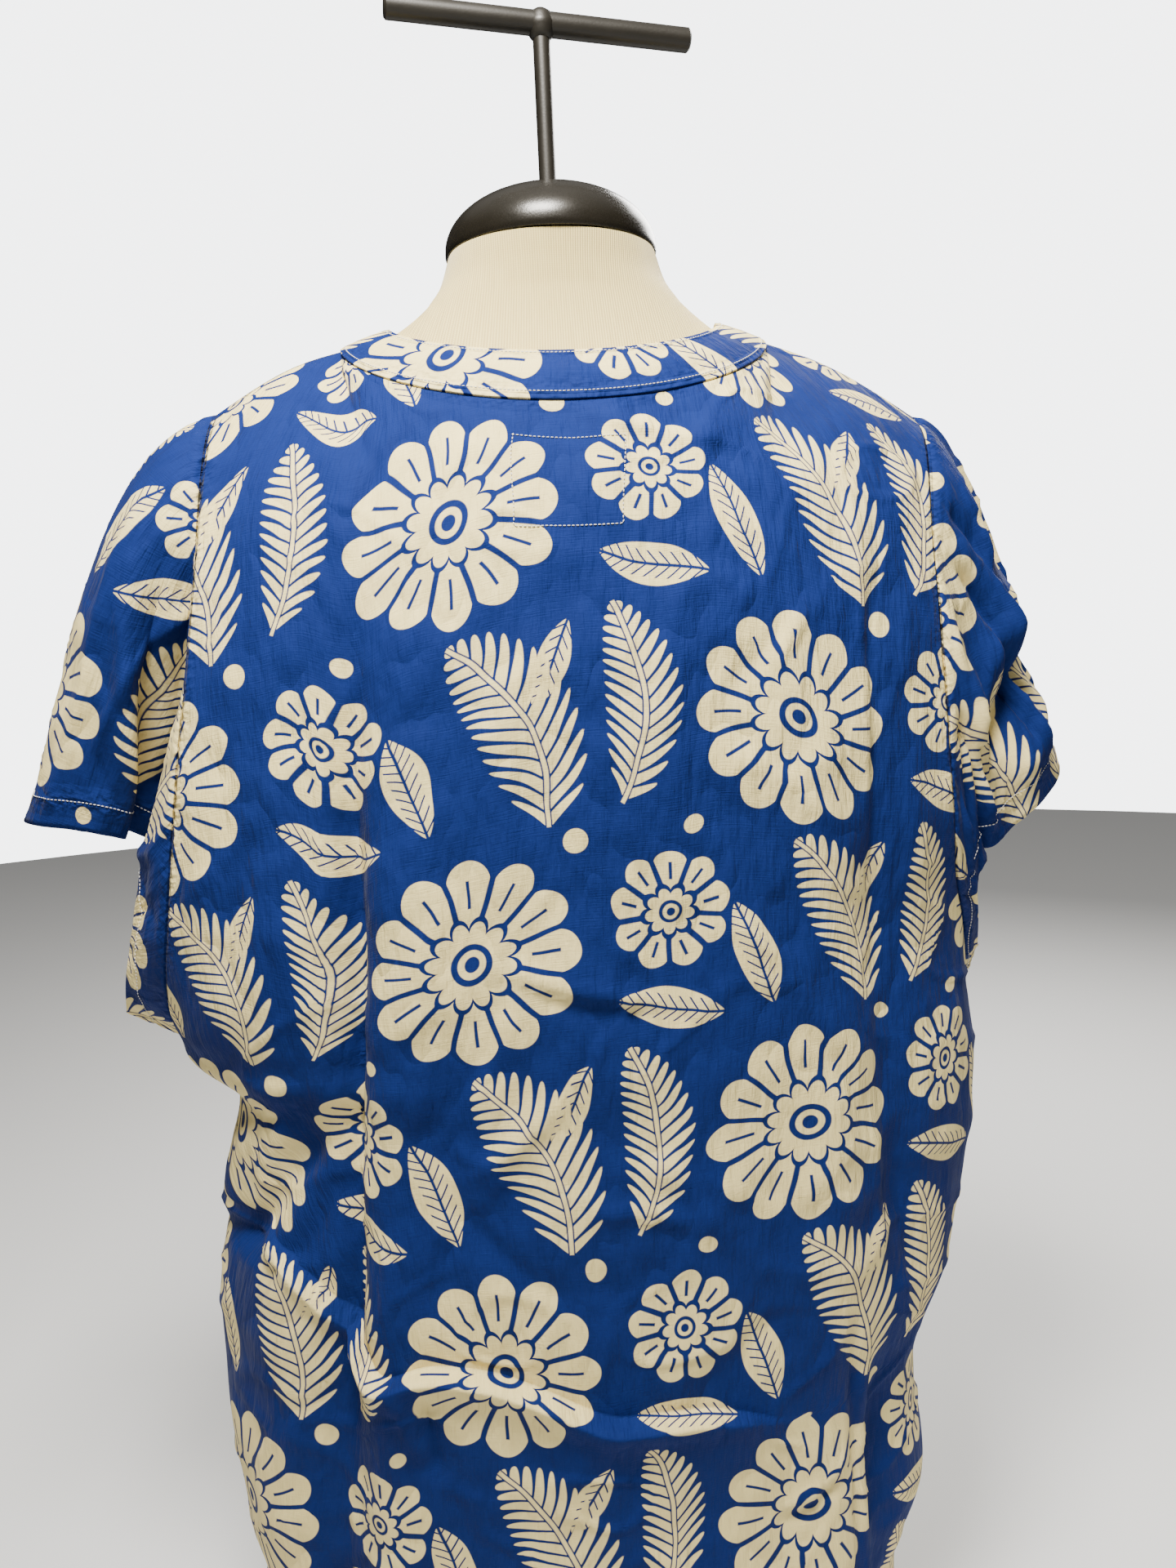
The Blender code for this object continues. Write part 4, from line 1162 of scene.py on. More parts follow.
@dataclass(frozen=True)
class PrintedCotton:
    """Light, softly crinkled cotton with the print. The wrong side is paler."""

    ink: tuple[float, float, float] = (0.0085, 0.0245, 0.148)
    ink_deep: tuple[float, float, float] = (0.0056, 0.0150, 0.094)
    bare: tuple[float, float, float] = (0.950, 0.810, 0.370)
    bare_warm: tuple[float, float, float] = (0.820, 0.650, 0.290)
    wrong_side: float = 0.0
    design: LeafPrint = LeafPrint()

    def material(self, name: str) -> bpy.types.Material:
        """Builds the finish.

        Args:
            name: the material's name.

        Returns:
            The material.
        """
        material = bpy.data.materials.new(name)
        material.use_nodes = True
        tree = material.node_tree
        nodes, links = tree.nodes, tree.links
        shader = nodes["Principled BSDF"]
        cloth = nodes.new("ShaderNodeUVMap")
        cloth.uv_map = "cloth"
        bare = self.design.mask(tree)
        mottle = self.noise(tree, cloth, (60.0, 60.0), 3.0)
        slub = self.noise(tree, cloth, (900.0, 45.0), 3.0)
        cross = self.noise(tree, cloth, (90.0, 1500.0), 2.0)
        thread = slub * 0.9 + cross * 0.5 - 0.2
        ink = self.blend(tree, self.ink, self.ink_deep, mottle * 0.6 + thread * 0.4)
        ground = self.blend(tree, self.bare, self.bare_warm, mottle * 0.4 + thread * 0.6)
        if self.wrong_side:
            ink = self.blend(tree, ink, self.bare, mottle * 0.0 + self.wrong_side)
        colour = self.blend(tree, ink, ground, bare)
        links.new(colour.socket, shader.inputs["Base Color"])
        shader.inputs["Roughness"].default_value = 0.80
        shader.inputs["Specular IOR Level"].default_value = 0.10
        shader.inputs["Sheen Weight"].default_value = 0.03
        shader.inputs["Sheen Roughness"].default_value = 0.35
        links.new(self.relief(tree, cloth, thread).socket, shader.inputs["Normal"])
        return material

    def noise(
        self, tree: bpy.types.NodeTree, cloth: bpy.types.Node, scale: tuple[float, float], detail: float
    ) -> Signal:
        """Adds noise stretched over the cloth.

        Args:
            tree: the material's nodes.
            cloth: the UV node.
            scale: cells in a metre, across and down.
            detail: the noise's detail.

        Returns:
            The noise, from 0 to 1.
        """
        mapping = tree.nodes.new("ShaderNodeMapping")
        mapping.inputs["Scale"].default_value = (*scale, 1.0)
        tree.links.new(cloth.outputs["UV"], mapping.inputs["Vector"])
        texture = tree.nodes.new("ShaderNodeTexNoise")
        texture.inputs["Scale"].default_value = 1.0
        texture.inputs["Detail"].default_value = detail
        tree.links.new(mapping.outputs["Vector"], texture.inputs["Vector"])
        return Signal(tree, texture.outputs["Fac"])

    def blend(
        self, tree: bpy.types.NodeTree, first: "tuple | Signal", second: "tuple | Signal", share: Signal
    ) -> Signal:
        """Adds a mix of two colours.

        Args:
            tree: the material's nodes.
            first: the colour at a share of 0.
            second: the colour at a share of 1.
            share: how much of the second.

        Returns:
            The mixed colour.
        """
        mix = tree.nodes.new("ShaderNodeMix")
        mix.data_type = "RGBA"
        tree.links.new(share.socket, mix.inputs["Factor"])
        for slot, colour in ((mix.inputs[6], first), (mix.inputs[7], second)):
            if isinstance(colour, Signal):
                tree.links.new(colour.socket, slot)
            else:
                slot.default_value = (*colour, 1.0)
        return Signal(tree, mix.outputs[2])

    def relief(self, tree: bpy.types.NodeTree, cloth: bpy.types.Node, thread: Signal) -> Signal:
        """Adds the crinkle, the weave, and the sunk and puckered seams as bump.

        Args:
            tree: the material's nodes.
            cloth: the UV node.
            thread: the uneven threads.

        Returns:
            The bumped normal.
        """
        crinkle = self.noise(tree, cloth, (260.0, 50.0), 3.0)
        creased = abs(self.noise(tree, cloth, (34.0, 17.0), 1.6) - 0.5) * 2.0
        seam = tree.nodes.new("ShaderNodeAttribute")
        seam.attribute_name = "seam_distance"
        near = Signal(tree, seam.outputs["Fac"])
        groove = (near / 0.0016).math("POWER", 2.0).inverted().maximum(0.0)
        pucker = self.noise(tree, cloth, (230.0, 230.0), 1.0) * (near / 0.010).inverted().maximum(0.0)
        height = crinkle * 0.0016 + creased * 0.0044 + thread * 0.0005 + pucker * 0.0030 - groove * 0.0008
        bump = tree.nodes.new("ShaderNodeBump")
        bump.inputs["Strength"].default_value = 1.0
        bump.inputs["Distance"].default_value = 1.0
        tree.links.new(height.socket, bump.inputs["Height"])
        return Signal(tree, bump.outputs["Normal"])


@dataclass(frozen=True)
class Jersey:
    """The form's ribbed jersey cover. Its rib grooves and course lines are darkened in the colour as painted shade."""

    # light is the yarn's own colour on the rib tops; deep is painted shade for the rib grooves and course lines, and
    # also the yarn's uneven tone
    light: tuple[float, float, float] = (0.970, 0.805, 0.330)
    deep: tuple[float, float, float] = (0.500, 0.345, 0.125)
    wale: float = 0.00135
    course: float = 0.00110

    def material(self, name: str) -> bpy.types.Material:
        """Builds the finish.

        Args:
            name: the material's name.

        Returns:
            The material.
        """
        material = bpy.data.materials.new(name)
        material.use_nodes = True
        tree = material.node_tree
        nodes, links = tree.nodes, tree.links
        shader = nodes["Principled BSDF"]
        cover = nodes.new("ShaderNodeUVMap")
        cover.uv_map = "cover"
        parts = nodes.new("ShaderNodeSeparateXYZ")
        links.new(cover.outputs["UV"], parts.inputs[0])
        u, v = Signal(tree, parts.outputs[0]), Signal(tree, parts.outputs[1])
        wales = abs((u / self.wale).fraction() - 0.5) * 2.0
        courses = abs(((v + wales * (0.6 * self.course)) / self.course).fraction() - 0.5) * 2.0
        mapping = nodes.new("ShaderNodeMapping")
        mapping.inputs["Scale"].default_value = (700.0, 60.0, 1.0)
        links.new(cover.outputs["UV"], mapping.inputs["Vector"])
        noise = nodes.new("ShaderNodeTexNoise")
        noise.inputs["Scale"].default_value = 1.0
        noise.inputs["Detail"].default_value = 3.0
        links.new(mapping.outputs["Vector"], noise.inputs["Vector"])
        uneven = Signal(tree, noise.outputs["Fac"])
        mix = nodes.new("ShaderNodeMix")
        mix.data_type = "RGBA"
        mix.inputs[6].default_value = (*self.light, 1.0)
        mix.inputs[7].default_value = (*self.deep, 1.0)
        # Painted shade: the colour darkens into the grooves between wales and along the course lines, where the bump
        # sinks the surface; the noise adds the yarn's real uneven tone
        groove_shade_and_tone = wales * 0.55 + courses * 0.2 + uneven * 0.3
        links.new(groove_shade_and_tone.math("SUBTRACT", 0.1, clamp=True).socket, mix.inputs["Factor"])
        links.new(mix.outputs[2], shader.inputs["Base Color"])
        shader.inputs["Roughness"].default_value = 0.92
        shader.inputs["Sheen Weight"].default_value = 0.25
        shader.inputs["Specular IOR Level"].default_value = 0.2
        bump = nodes.new("ShaderNodeBump")
        bump.inputs["Strength"].default_value = 0.8
        bump.inputs["Distance"].default_value = 1.0
        height = (wales * 0.00035 + courses * 0.00012).math("MULTIPLY", -1.0) + uneven * 0.0001
        links.new(height.socket, bump.inputs["Height"])
        links.new(bump.outputs["Normal"], shader.inputs["Normal"])
        return material


@dataclass(frozen=True)
class DarkMetal:
    """Dark bronze-black metal, satin on the cap and a little rougher on the hanger."""

    colour: tuple[float, float, float] = (0.011, 0.0095, 0.0065)
    worn: tuple[float, float, float] = (0.030, 0.025, 0.017)
    roughness: float = 0.24

    def material(self, name: str) -> bpy.types.Material:
        """Builds the finish.

        Args:
            name: the material's name.

        Returns:
            The material.
        """
        material = bpy.data.materials.new(name)
        material.use_nodes = True
        tree = material.node_tree
        nodes, links = tree.nodes, tree.links
        shader = nodes["Principled BSDF"]
        place = nodes.new("ShaderNodeTexCoord")
        noise = nodes.new("ShaderNodeTexNoise")
        noise.inputs["Scale"].default_value = 38.0
        noise.inputs["Detail"].default_value = 6.0
        grain = nodes.new("ShaderNodeTexNoise")
        grain.inputs["Scale"].default_value = 900.0
        grain.inputs["Detail"].default_value = 2.0
        for texture in (noise, grain):
            links.new(place.outputs["Object"], texture.inputs["Vector"])
        patch, fine = Signal(tree, noise.outputs["Fac"]), Signal(tree, grain.outputs["Fac"])
        mix = nodes.new("ShaderNodeMix")
        mix.data_type = "RGBA"
        mix.inputs[6].default_value = (*self.colour, 1.0)
        mix.inputs[7].default_value = (*self.worn, 1.0)
        links.new((patch * 0.7 + fine * 0.3).math("MULTIPLY", 0.5, clamp=True).socket, mix.inputs["Factor"])
        links.new(mix.outputs[2], shader.inputs["Base Color"])
        links.new((patch * 0.16 + fine * 0.10 + (self.roughness - 0.10)).socket, shader.inputs["Roughness"])
        shader.inputs["Metallic"].default_value = 0.35
        shader.inputs["Coat Weight"].default_value = 0.12
        shader.inputs["Coat Roughness"].default_value = 0.25
        bump = nodes.new("ShaderNodeBump")
        bump.inputs["Strength"].default_value = 0.25
        bump.inputs["Distance"].default_value = 1.0
        links.new((fine * 0.0002 + patch * 0.0004).socket, bump.inputs["Height"])
        links.new(bump.outputs["Normal"], shader.inputs["Normal"])
        return material


@dataclass(frozen=True)
class Thread:
    """Off-white sewing thread."""

    colour: tuple[float, float, float] = (0.800, 0.780, 0.740)

    def material(self, name: str) -> bpy.types.Material:
        """Builds the finish.

        Args:
            name: the material's name.

        Returns:
            The material.
        """
        material = bpy.data.materials.new(name)
        material.use_nodes = True
        tree = material.node_tree
        shader = tree.nodes["Principled BSDF"]
        place = tree.nodes.new("ShaderNodeTexCoord")
        noise = tree.nodes.new("ShaderNodeTexNoise")
        noise.inputs["Scale"].default_value = 400.0
        tree.links.new(place.outputs["Object"], noise.inputs["Vector"])
        ramp = tree.nodes.new("ShaderNodeValToRGB")
        ramp.color_ramp.elements[0].color = (*(0.75 * c for c in self.colour), 1.0)
        ramp.color_ramp.elements[1].color = (*self.colour, 1.0)
        tree.links.new(noise.outputs["Fac"], ramp.inputs["Fac"])
        tree.links.new(ramp.outputs["Color"], shader.inputs["Base Color"])
        shader.inputs["Roughness"].default_value = 0.6
        shader.inputs["Sheen Weight"].default_value = 0.4
        return material


@dataclass
class StitchLine:
    """A row of machine stitches laid along paths by Geometry Nodes."""

    pitch: float = 0.0022
    length: float = 0.0018
    thread_width: float = 0.00062
    segments: int = 6
    rings: int = 4

    def tree(self) -> bpy.types.NodeTree:
        """Builds the node tree: one stitch at each step along the paths, made real and dressed."""
        tree = bpy.data.node_groups.new("stitches", "GeometryNodeTree")
        side = tree.interface
        side.new_socket("Paths", in_out="INPUT", socket_type="NodeSocketGeometry")
        for name in ("Pitch", "Stitch Length", "Thread Width"):
            side.new_socket(name, in_out="INPUT", socket_type="NodeSocketFloat")
        side.new_socket("Thread", in_out="INPUT", socket_type="NodeSocketMaterial")
        side.new_socket("Stitches", in_out="OUTPUT", socket_type="NodeSocketGeometry")
        given, made = tree.nodes.new("NodeGroupInput"), tree.nodes.new("NodeGroupOutput")
        line = tree.nodes.new("GeometryNodeMeshToCurve")
        steps = tree.nodes.new("GeometryNodeResampleCurve")
        steps.mode = "LENGTH"
        ball = tree.nodes.new("GeometryNodeMeshUVSphere")
        ball.inputs["Segments"].default_value = self.segments
        ball.inputs["Rings"].default_value = self.rings
        ball.inputs["Radius"].default_value = 0.5
        sizes = tree.nodes.new("ShaderNodeCombineXYZ")
        shaped = tree.nodes.new("GeometryNodeTransform")
        tangent = tree.nodes.new("GeometryNodeInputTangent")
        turn = tree.nodes.new("FunctionNodeAlignRotationToVector")
        turn.axis = "X"
        placed = tree.nodes.new("GeometryNodeInstanceOnPoints")
        real = tree.nodes.new("GeometryNodeRealizeInstances")
        dressed = tree.nodes.new("GeometryNodeSetMaterial")
        for start, end in (
            (given.outputs["Paths"], line.inputs["Mesh"]),
            (line.outputs["Curve"], steps.inputs["Curve"]),
            (given.outputs["Pitch"], steps.inputs["Length"]),
            (given.outputs["Stitch Length"], sizes.inputs[0]),
            (given.outputs["Thread Width"], sizes.inputs[1]),
            (given.outputs["Thread Width"], sizes.inputs[2]),
            (ball.outputs["Mesh"], shaped.inputs["Geometry"]),
            (sizes.outputs[0], shaped.inputs["Scale"]),
            (tangent.outputs[0], turn.inputs["Vector"]),
            (steps.outputs["Curve"], placed.inputs["Points"]),
            (shaped.outputs["Geometry"], placed.inputs["Instance"]),
            (turn.outputs["Rotation"], placed.inputs["Rotation"]),
            (placed.outputs["Instances"], real.inputs["Geometry"]),
            (real.outputs["Geometry"], dressed.inputs["Geometry"]),
            (given.outputs["Thread"], dressed.inputs["Material"]),
            (dressed.outputs["Geometry"], made.inputs["Stitches"]),
        ):
            tree.links.new(start, end)
        return tree

    def lay(self, name: str, paths: list[np.ndarray], shift: Vector, thread: bpy.types.Material) -> bpy.types.Object:
        """Sews along paths.

        Args:
            name: the piece's name.
            paths: lines of points on the cloth.
            shift: how far the body's axis lies from the origin.
            thread: the thread's finish.

        Returns:
            The stitches as one plain mesh.
        """
        guide = bpy.data.meshes.new(name + "_paths")
        points = (np.concatenate(paths) + np.array(shift)).tolist()
        edges, start = [], 0
        for path in paths:
            edges += [(start + i, start + i + 1) for i in range(len(path) - 1)]
            start += len(path)
        guide.from_pydata(points, edges, [])
        sewn = bpy.data.objects.new(name + "_paths", guide)
        bpy.context.scene.collection.objects.link(sewn)
        modifier = sewn.modifiers.new("stitches", "NODES")
        modifier.node_group = self.tree()
        values = {
            "Pitch": self.pitch,
            "Stitch Length": self.length,
            "Thread Width": self.thread_width,
            "Thread": thread,
        }
        for item in modifier.node_group.interface.items_tree:
            if item.name in values:
                modifier[item.identifier] = values[item.name]
        bpy.context.view_layer.update()
        evaluated = sewn.evaluated_get(bpy.context.evaluated_depsgraph_get())
        mesh = bpy.data.meshes.new_from_object(evaluated)
        mesh.name = name
        mesh.shade_smooth()
        piece = bpy.data.objects.new(name, mesh)
        bpy.context.scene.collection.objects.link(piece)
        bpy.data.objects.remove(sewn)
        return piece


@dataclass
class TunicTop:
    """The tunic: two panels, two sleeves, a neck band and their stitches."""

    form: ClothForm
    shift: Vector
    wall: float = 0.0010
    seam_gap: float = 0.0004
    crumple_depth: float = 0.0046
    left_crumple: float = 0.0024
    right_crumple: float = 0.0042
    hem_turn: float = 0.012
    sleeve_turn: float = 0.017
    turn_swell: float = 0.0005
    band_wall: float = 0.0024
    band_lift: float = 0.0013
    band_height: float = 0.028
    band_points: int = 36
    band_squareness: float = 0.28
    band_stitch_shares: tuple[float, float] = (0.085, 0.915)
    label_corners: tuple[tuple[float, float], ...] = (
        (0.039, 0.805),
        (-0.017, 0.803),
        (-0.015, 0.757),
        (0.040, 0.758),
    )
    stitch_lift: float = 0.0006
    front_shift: tuple[float, float] = (0.052, 0.074)
    print_evening: int = 24
    short_cloth: float = 0.10
    sleeve_places: dict[Arm, tuple[float, float]] = field(
        default_factory=lambda: {Arm.LEFT: (0.060, 0.110), Arm.RIGHT: (-0.040, 0.020)}
    )

    def panel_surface(self, face: Face) -> Surface:
        """Works out a panel with its print's places and its seams.

        Args:
            face: which panel.

        Returns:
            The panel's surface.
        """
        creases = BACK_CREASES if face is Face.BACK else FRONT_CREASES
        grid = self.form.panel(face, creases, self.crumple_depth)
        grid[0] += unit(grid[1] - grid[0]) * self.seam_gap / 2
        for edge, inner in ((0, 1), (-1, -2)):
            grid[:, edge] += unit(grid[:, inner] - grid[:, edge]) * self.seam_gap / 2
        plain = self.form.panel(face)
        down = lengths_along(plain)
        across = lengths_along(plain.transpose(1, 0, 2)).T
        middle = self.form.columns // 2
        level = sum(self.form.rows[:3])
        to_side = np.minimum(across, across[:, -1:] - across)
        to_hem = np.abs(down[-1] - down - self.hem_turn)
        near = np.minimum(np.minimum(down, to_side), to_hem)
        surface = Surface(
            grid, False, float(face.value), face.value * (across - across[:, middle : middle + 1]), down[level] - down, near
        )
        surface.u, surface.v = (softened(places, self.print_evening) for places in (surface.u, surface.v))
        if face is Face.FRONT:
            surface.u, surface.v = surface.u + self.front_shift[0], surface.v + self.front_shift[1]
        surface.push(self.turn_swell * ease((self.hem_turn - (down[-1] - down)) / 0.002))
        return surface

    def sleeve_surface(self, arm: Arm, back: np.ndarray, front: np.ndarray) -> Surface:
        """Works out a sleeve with its print's places and its seams.

        Args:
            arm: which sleeve.
            back: the back panel's smooth surface.
            front: the front panel's.

        Returns:
            The sleeve's surface.
        """
        grid = self.form.sleeve(arm, back, front)
        top = self.form.underarm_row
        ringed = np.concatenate([grid, grid[:, :1]], axis=1)
        down = lengths_along(ringed)
        around = lengths_along(ringed.transpose(1, 0, 2)).T
        u = around - around[:, top : top + 1]
        flat = spread(unrolled(ringed[::3, ::3], top // 3), ringed.shape[:2]) + self.sleeve_places[arm]
        to_hem = np.abs(down[-1] - down - self.sleeve_turn)
        to_underarm = np.minimum(around, around[:, -1:] - around)
        near = np.minimum(np.minimum(down, to_underarm), to_hem)
        outward = 1.0 if arm is Arm.RIGHT else -1.0
        surface = Surface(grid, True, outward, flat[..., 0], flat[..., 1], near)
        share = (u / np.where(u > 0, u[:, -1:], -u[:, :1]))[:, :-1]
        length = (down / down[-1])[:, :-1]
        left = arm is Arm.LEFT
        creases = LEFT_SLEEVE_CREASES if left else RIGHT_SLEEVE_CREASES
        scale = (float(u[0, -1]), float(down[-1].mean()))
        push = crease_push(creases, np.where(share > 0, share, 0.04 - share), length, scale)
        if left:
            push += crease_push(LEFT_FLAP, share, length, scale)
        depth = self.left_crumple if left else self.right_crumple
        push += depth * crumple(u[:, :-1], down[:, :-1] * 1.6, 0.030, 40 + arm.value)
        swell = self.turn_swell * ease((self.sleeve_turn - (down[-1] - down)[:, :-1]) / 0.002)
        push *= ease(down[-1, :-1] / self.short_cloth)
        surface.push(push * ease(length / 0.12) * ease((1.25 - length) / 0.3) + swell)
        surface.grid[0] += unit(surface.grid[1] - surface.grid[0]) * self.seam_gap / 2
        return surface

    def band_line(self, edges: tuple, share: float, lift: float) -> np.ndarray:
        """A line round the neck band.

        Args:
            edges: the band's lower, middle and free lines.
            share: the line's share of the way up the band.
            lift: how far it stands off the band's middle surface.

        Returns:
            The line's points.
        """
        low, middle, high = edges
        grid = np.array([low, middle, high])
        normals = -grid_normals(grid, True)
        weights = [(1 - share) * (1 - 2 * share), 4 * share * (1 - share), share * (2 * share - 1)]
        points = sum(w * line for w, line in zip(weights, grid))
        way = unit(sum(w * n for w, n in zip(((1 - share), 0.0, share), normals)))
        return points + way * (lift + self.band_lift * (1 - share) ** 2)

    def band_surface(self, edges: tuple) -> Surface:
        """Works out the neck band, folded thick with round edges.

        Args:
            edges: the band's lower, middle and free lines.

        Returns:
            The band's closed skin.
        """
        angles = np.linspace(0, 2 * math.pi, self.band_points + 1)
        shape = [np.sign(w) * np.abs(w) ** self.band_squareness for w in (np.cos(angles), np.sin(angles))]
        shares = 0.5 - 0.5 * np.where(shape[0] > 0, 1.09, 1.0) * shape[0]
        lines = [self.band_line(edges, t, 0.5 * self.band_wall * s) for t, s in zip(shares, shape[1])]
        grid = np.array(lines)
        grid[-1] = grid[0]
        ringed = np.concatenate([grid, grid[:, :1]], axis=1)
        around = lengths_along(ringed.transpose(1, 0, 2)).mean(axis=1) + np.zeros((len(shares), 1))
        v = np.broadcast_to((shares * self.band_height)[:, None], around.shape)
        near = np.full(around.shape, 1.0)
        for share in self.band_stitch_shares:
            near = np.minimum(near, np.abs(v - share * self.band_height))
        return Surface(grid, True, 1.0, around + 0.02, v + 0.03, near)

    def piece(
        self, surface: Surface, node: str, cloth: tuple[bpy.types.Material, ...], thin: bool
    ) -> bpy.types.Object:
        """Makes a piece of cloth that stands for a solid.

        Args:
            surface: its form.
            node: the solid's name.
            cloth: its right side and its wrong side.
            thin: whether it gets its wall here.

        Returns:
            The piece.
        """
        obj = surface.mesh_object(node + "_cloth", self.shift)
        for material in cloth:
            obj.data.materials.append(material)
        if thin:
            wall = obj.modifiers.new("wall", "SOLIDIFY")
            wall.thickness, wall.offset, wall.material_offset = self.wall, 0.0, 1
        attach(obj, BODY)
        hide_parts(node)
        log.info("%s: %d points", obj.name, len(obj.data.vertices))
        return obj

    def hem_path(self, surface: Surface, turn: float) -> np.ndarray:
        """The stitch line of a turned hem.

        Args:
            surface: the piece.
            turn: the hem's depth.

        Returns:
            The line's points.
        """
        down = lengths_along(surface.grid)
        rows = np.array([np.interp(line[-1] - turn, line, np.arange(len(line))) for line in down.T])
        path = surface.path(rows, np.arange(down.shape[1], dtype=float), self.wall / 2 + self.stitch_lift / 2)
        return np.concatenate([path, path[:1]]) if surface.closed else path

    def label_path(self, back: Surface) -> np.ndarray:
        """The stitched outline that holds the label inside the back.

        Args:
            back: the back panel.

        Returns:
            The line's points.
        """
        corners = []
        for x, height in (*self.label_corners, self.label_corners[0]):
            off = np.abs(back.grid[..., 0] - x) + np.abs(back.grid[..., 2] - height)
            corners.append(np.unravel_index(np.argmin(off), off.shape))
        corners = np.array(corners, float)
        at = np.linspace(0, len(corners) - 1, 4 * 24 + 1)
        rows = np.interp(at, range(len(corners)), corners[:, 0])
        columns = np.interp(at, range(len(corners)), corners[:, 1])
        return back.path(rows, columns, self.wall / 2 + self.stitch_lift / 2)

    def build(self, right_side: bpy.types.Material, wrong_side: bpy.types.Material, thread: bpy.types.Material) -> None:
        """Makes and dresses every piece of the tunic, and parents it to the body.

        Args:
            right_side: the printed side's finish.
            wrong_side: the inner side's finish.
            thread: the stitches' finish.
        """
        cloth = (right_side, wrong_side)
        smooth_panels = [self.form.panel(face) for face in (Face.BACK, Face.FRONT)]
        panels = {face: self.panel_surface(face) for face in Face}
        sleeves = {arm: self.sleeve_surface(arm, *smooth_panels) for arm in Arm}
        edges = self.form.band_edges(*smooth_panels)
        back = self.piece(panels[Face.BACK], "back_panel", cloth, True)
        front = self.piece(panels[Face.FRONT], "front_panel", cloth, True)
        left = self.piece(sleeves[Arm.LEFT], "sleeve_left", cloth, True)
        right = self.piece(sleeves[Arm.RIGHT], "sleeve_right", cloth, True)
        band = self.piece(self.band_surface(edges), "neck_band", (right_side,), False)
        merge_doubles(band)

        lift = 0.5 * self.band_wall + 0.2 * self.stitch_lift
        band_paths = [self.band_line(edges, share, lift) for share in self.band_stitch_shares]
        band_paths = [np.concatenate([path, path[:1]]) for path in band_paths]
        lines = {
            "neck_band_stitches": band_paths,
            "label_stitches": [self.label_path(panels[Face.BACK])],
            "hem_stitches": [self.hem_path(panels[face], self.hem_turn) for face in Face],
            "sleeve_left_stitches": [self.hem_path(sleeves[Arm.LEFT], self.sleeve_turn)],
            "sleeve_right_stitches": [self.hem_path(sleeves[Arm.RIGHT], self.sleeve_turn)],
        }
        sewn = {}
        for name, paths in lines.items():
            sewn[name] = StitchLine().lay(name, paths, self.shift, thread)
            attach(sewn[name], BODY)
            log.info("%s: %d points", name, len(sewn[name].data.vertices))


def unrolled(grid: np.ndarray, line: int) -> np.ndarray:
    """Unwraps a surface onto a plane with the least stretch, in metres.

    Args:
        grid: rows by columns of points, cut open along its first column.
        line: the column that runs straight down the plane.

    Returns:
        Rows by columns of flat places.
    """
    rows, columns = grid.shape[:2]
    i, j = (a.ravel() for a in np.meshgrid(np.arange(rows - 1), np.arange(columns - 1), indexing="ij"))
    faces = np.stack([a * columns + b for a, b in ((i, j), (i, j + 1), (i + 1, j + 1), (i + 1, j))], axis=-1)
    mesh = bpy.data.meshes.new("unrolled")
    mesh.from_pydata(grid.reshape(-1, 3).tolist(), [], faces.tolist())
    mesh.uv_layers.new(name="flat")
    pattern = bpy.data.objects.new("unrolled", mesh)
    bpy.context.scene.collection.objects.link(pattern)
    bpy.context.view_layer.objects.active = pattern
    pattern.select_set(True)
    bpy.ops.object.mode_set(mode="EDIT")
    bpy.ops.mesh.select_all(action="SELECT")
    bpy.ops.uv.unwrap(method="MINIMUM_STRETCH", iterations=30, margin=0.0)
    bpy.ops.object.mode_set(mode="OBJECT")
    loops = np.empty(2 * len(mesh.loops), dtype=np.float32)
    mesh.uv_layers["flat"].data.foreach_get("uv", loops)
    flat = np.empty((rows * columns, 2))
    flat[faces.ravel()] = loops.reshape(-1, 2)
    flat = flat.reshape(rows, columns, 2)
    real = lengths_along(grid)[-1].sum()
    flat *= real / np.linalg.norm(np.diff(flat, axis=0), axis=-1).sum()
    way = flat[-1, line] - flat[0, line]
    way /= np.linalg.norm(way)
    flat = np.stack([flat @ np.array([-way[1], way[0]]), -(flat @ way)], axis=-1)
    if flat[0, -1, 0] < flat[0, 0, 0]:
        flat[..., 0] *= -1
    bpy.data.objects.remove(pattern)
    return flat - flat[0, line]


def spread(coarse: np.ndarray, shape: tuple[int, int]) -> np.ndarray:
    """Fills a finer grid from a coarse one of the same outline."""
    for axis in (0, 1):
        at = np.linspace(0, coarse.shape[axis] - 1, shape[axis])
        low = np.minimum(at.astype(int), coarse.shape[axis] - 2)
        part = np.expand_dims((at - low)[:, None], 1 - axis)
        coarse = np.take(coarse, low, axis) * (1 - part) + np.take(coarse, low + 1, axis) * part
    return coarse


def merge_doubles(obj: bpy.types.Object, distance: float = 1e-7) -> None:
    """Joins the points of a mesh that lie on each other."""
    shape = bmesh.new()
    shape.from_mesh(obj.data)
    bmesh.ops.remove_doubles(shape, verts=shape.verts, dist=distance)
    shape.to_mesh(obj.data)
    shape.free()


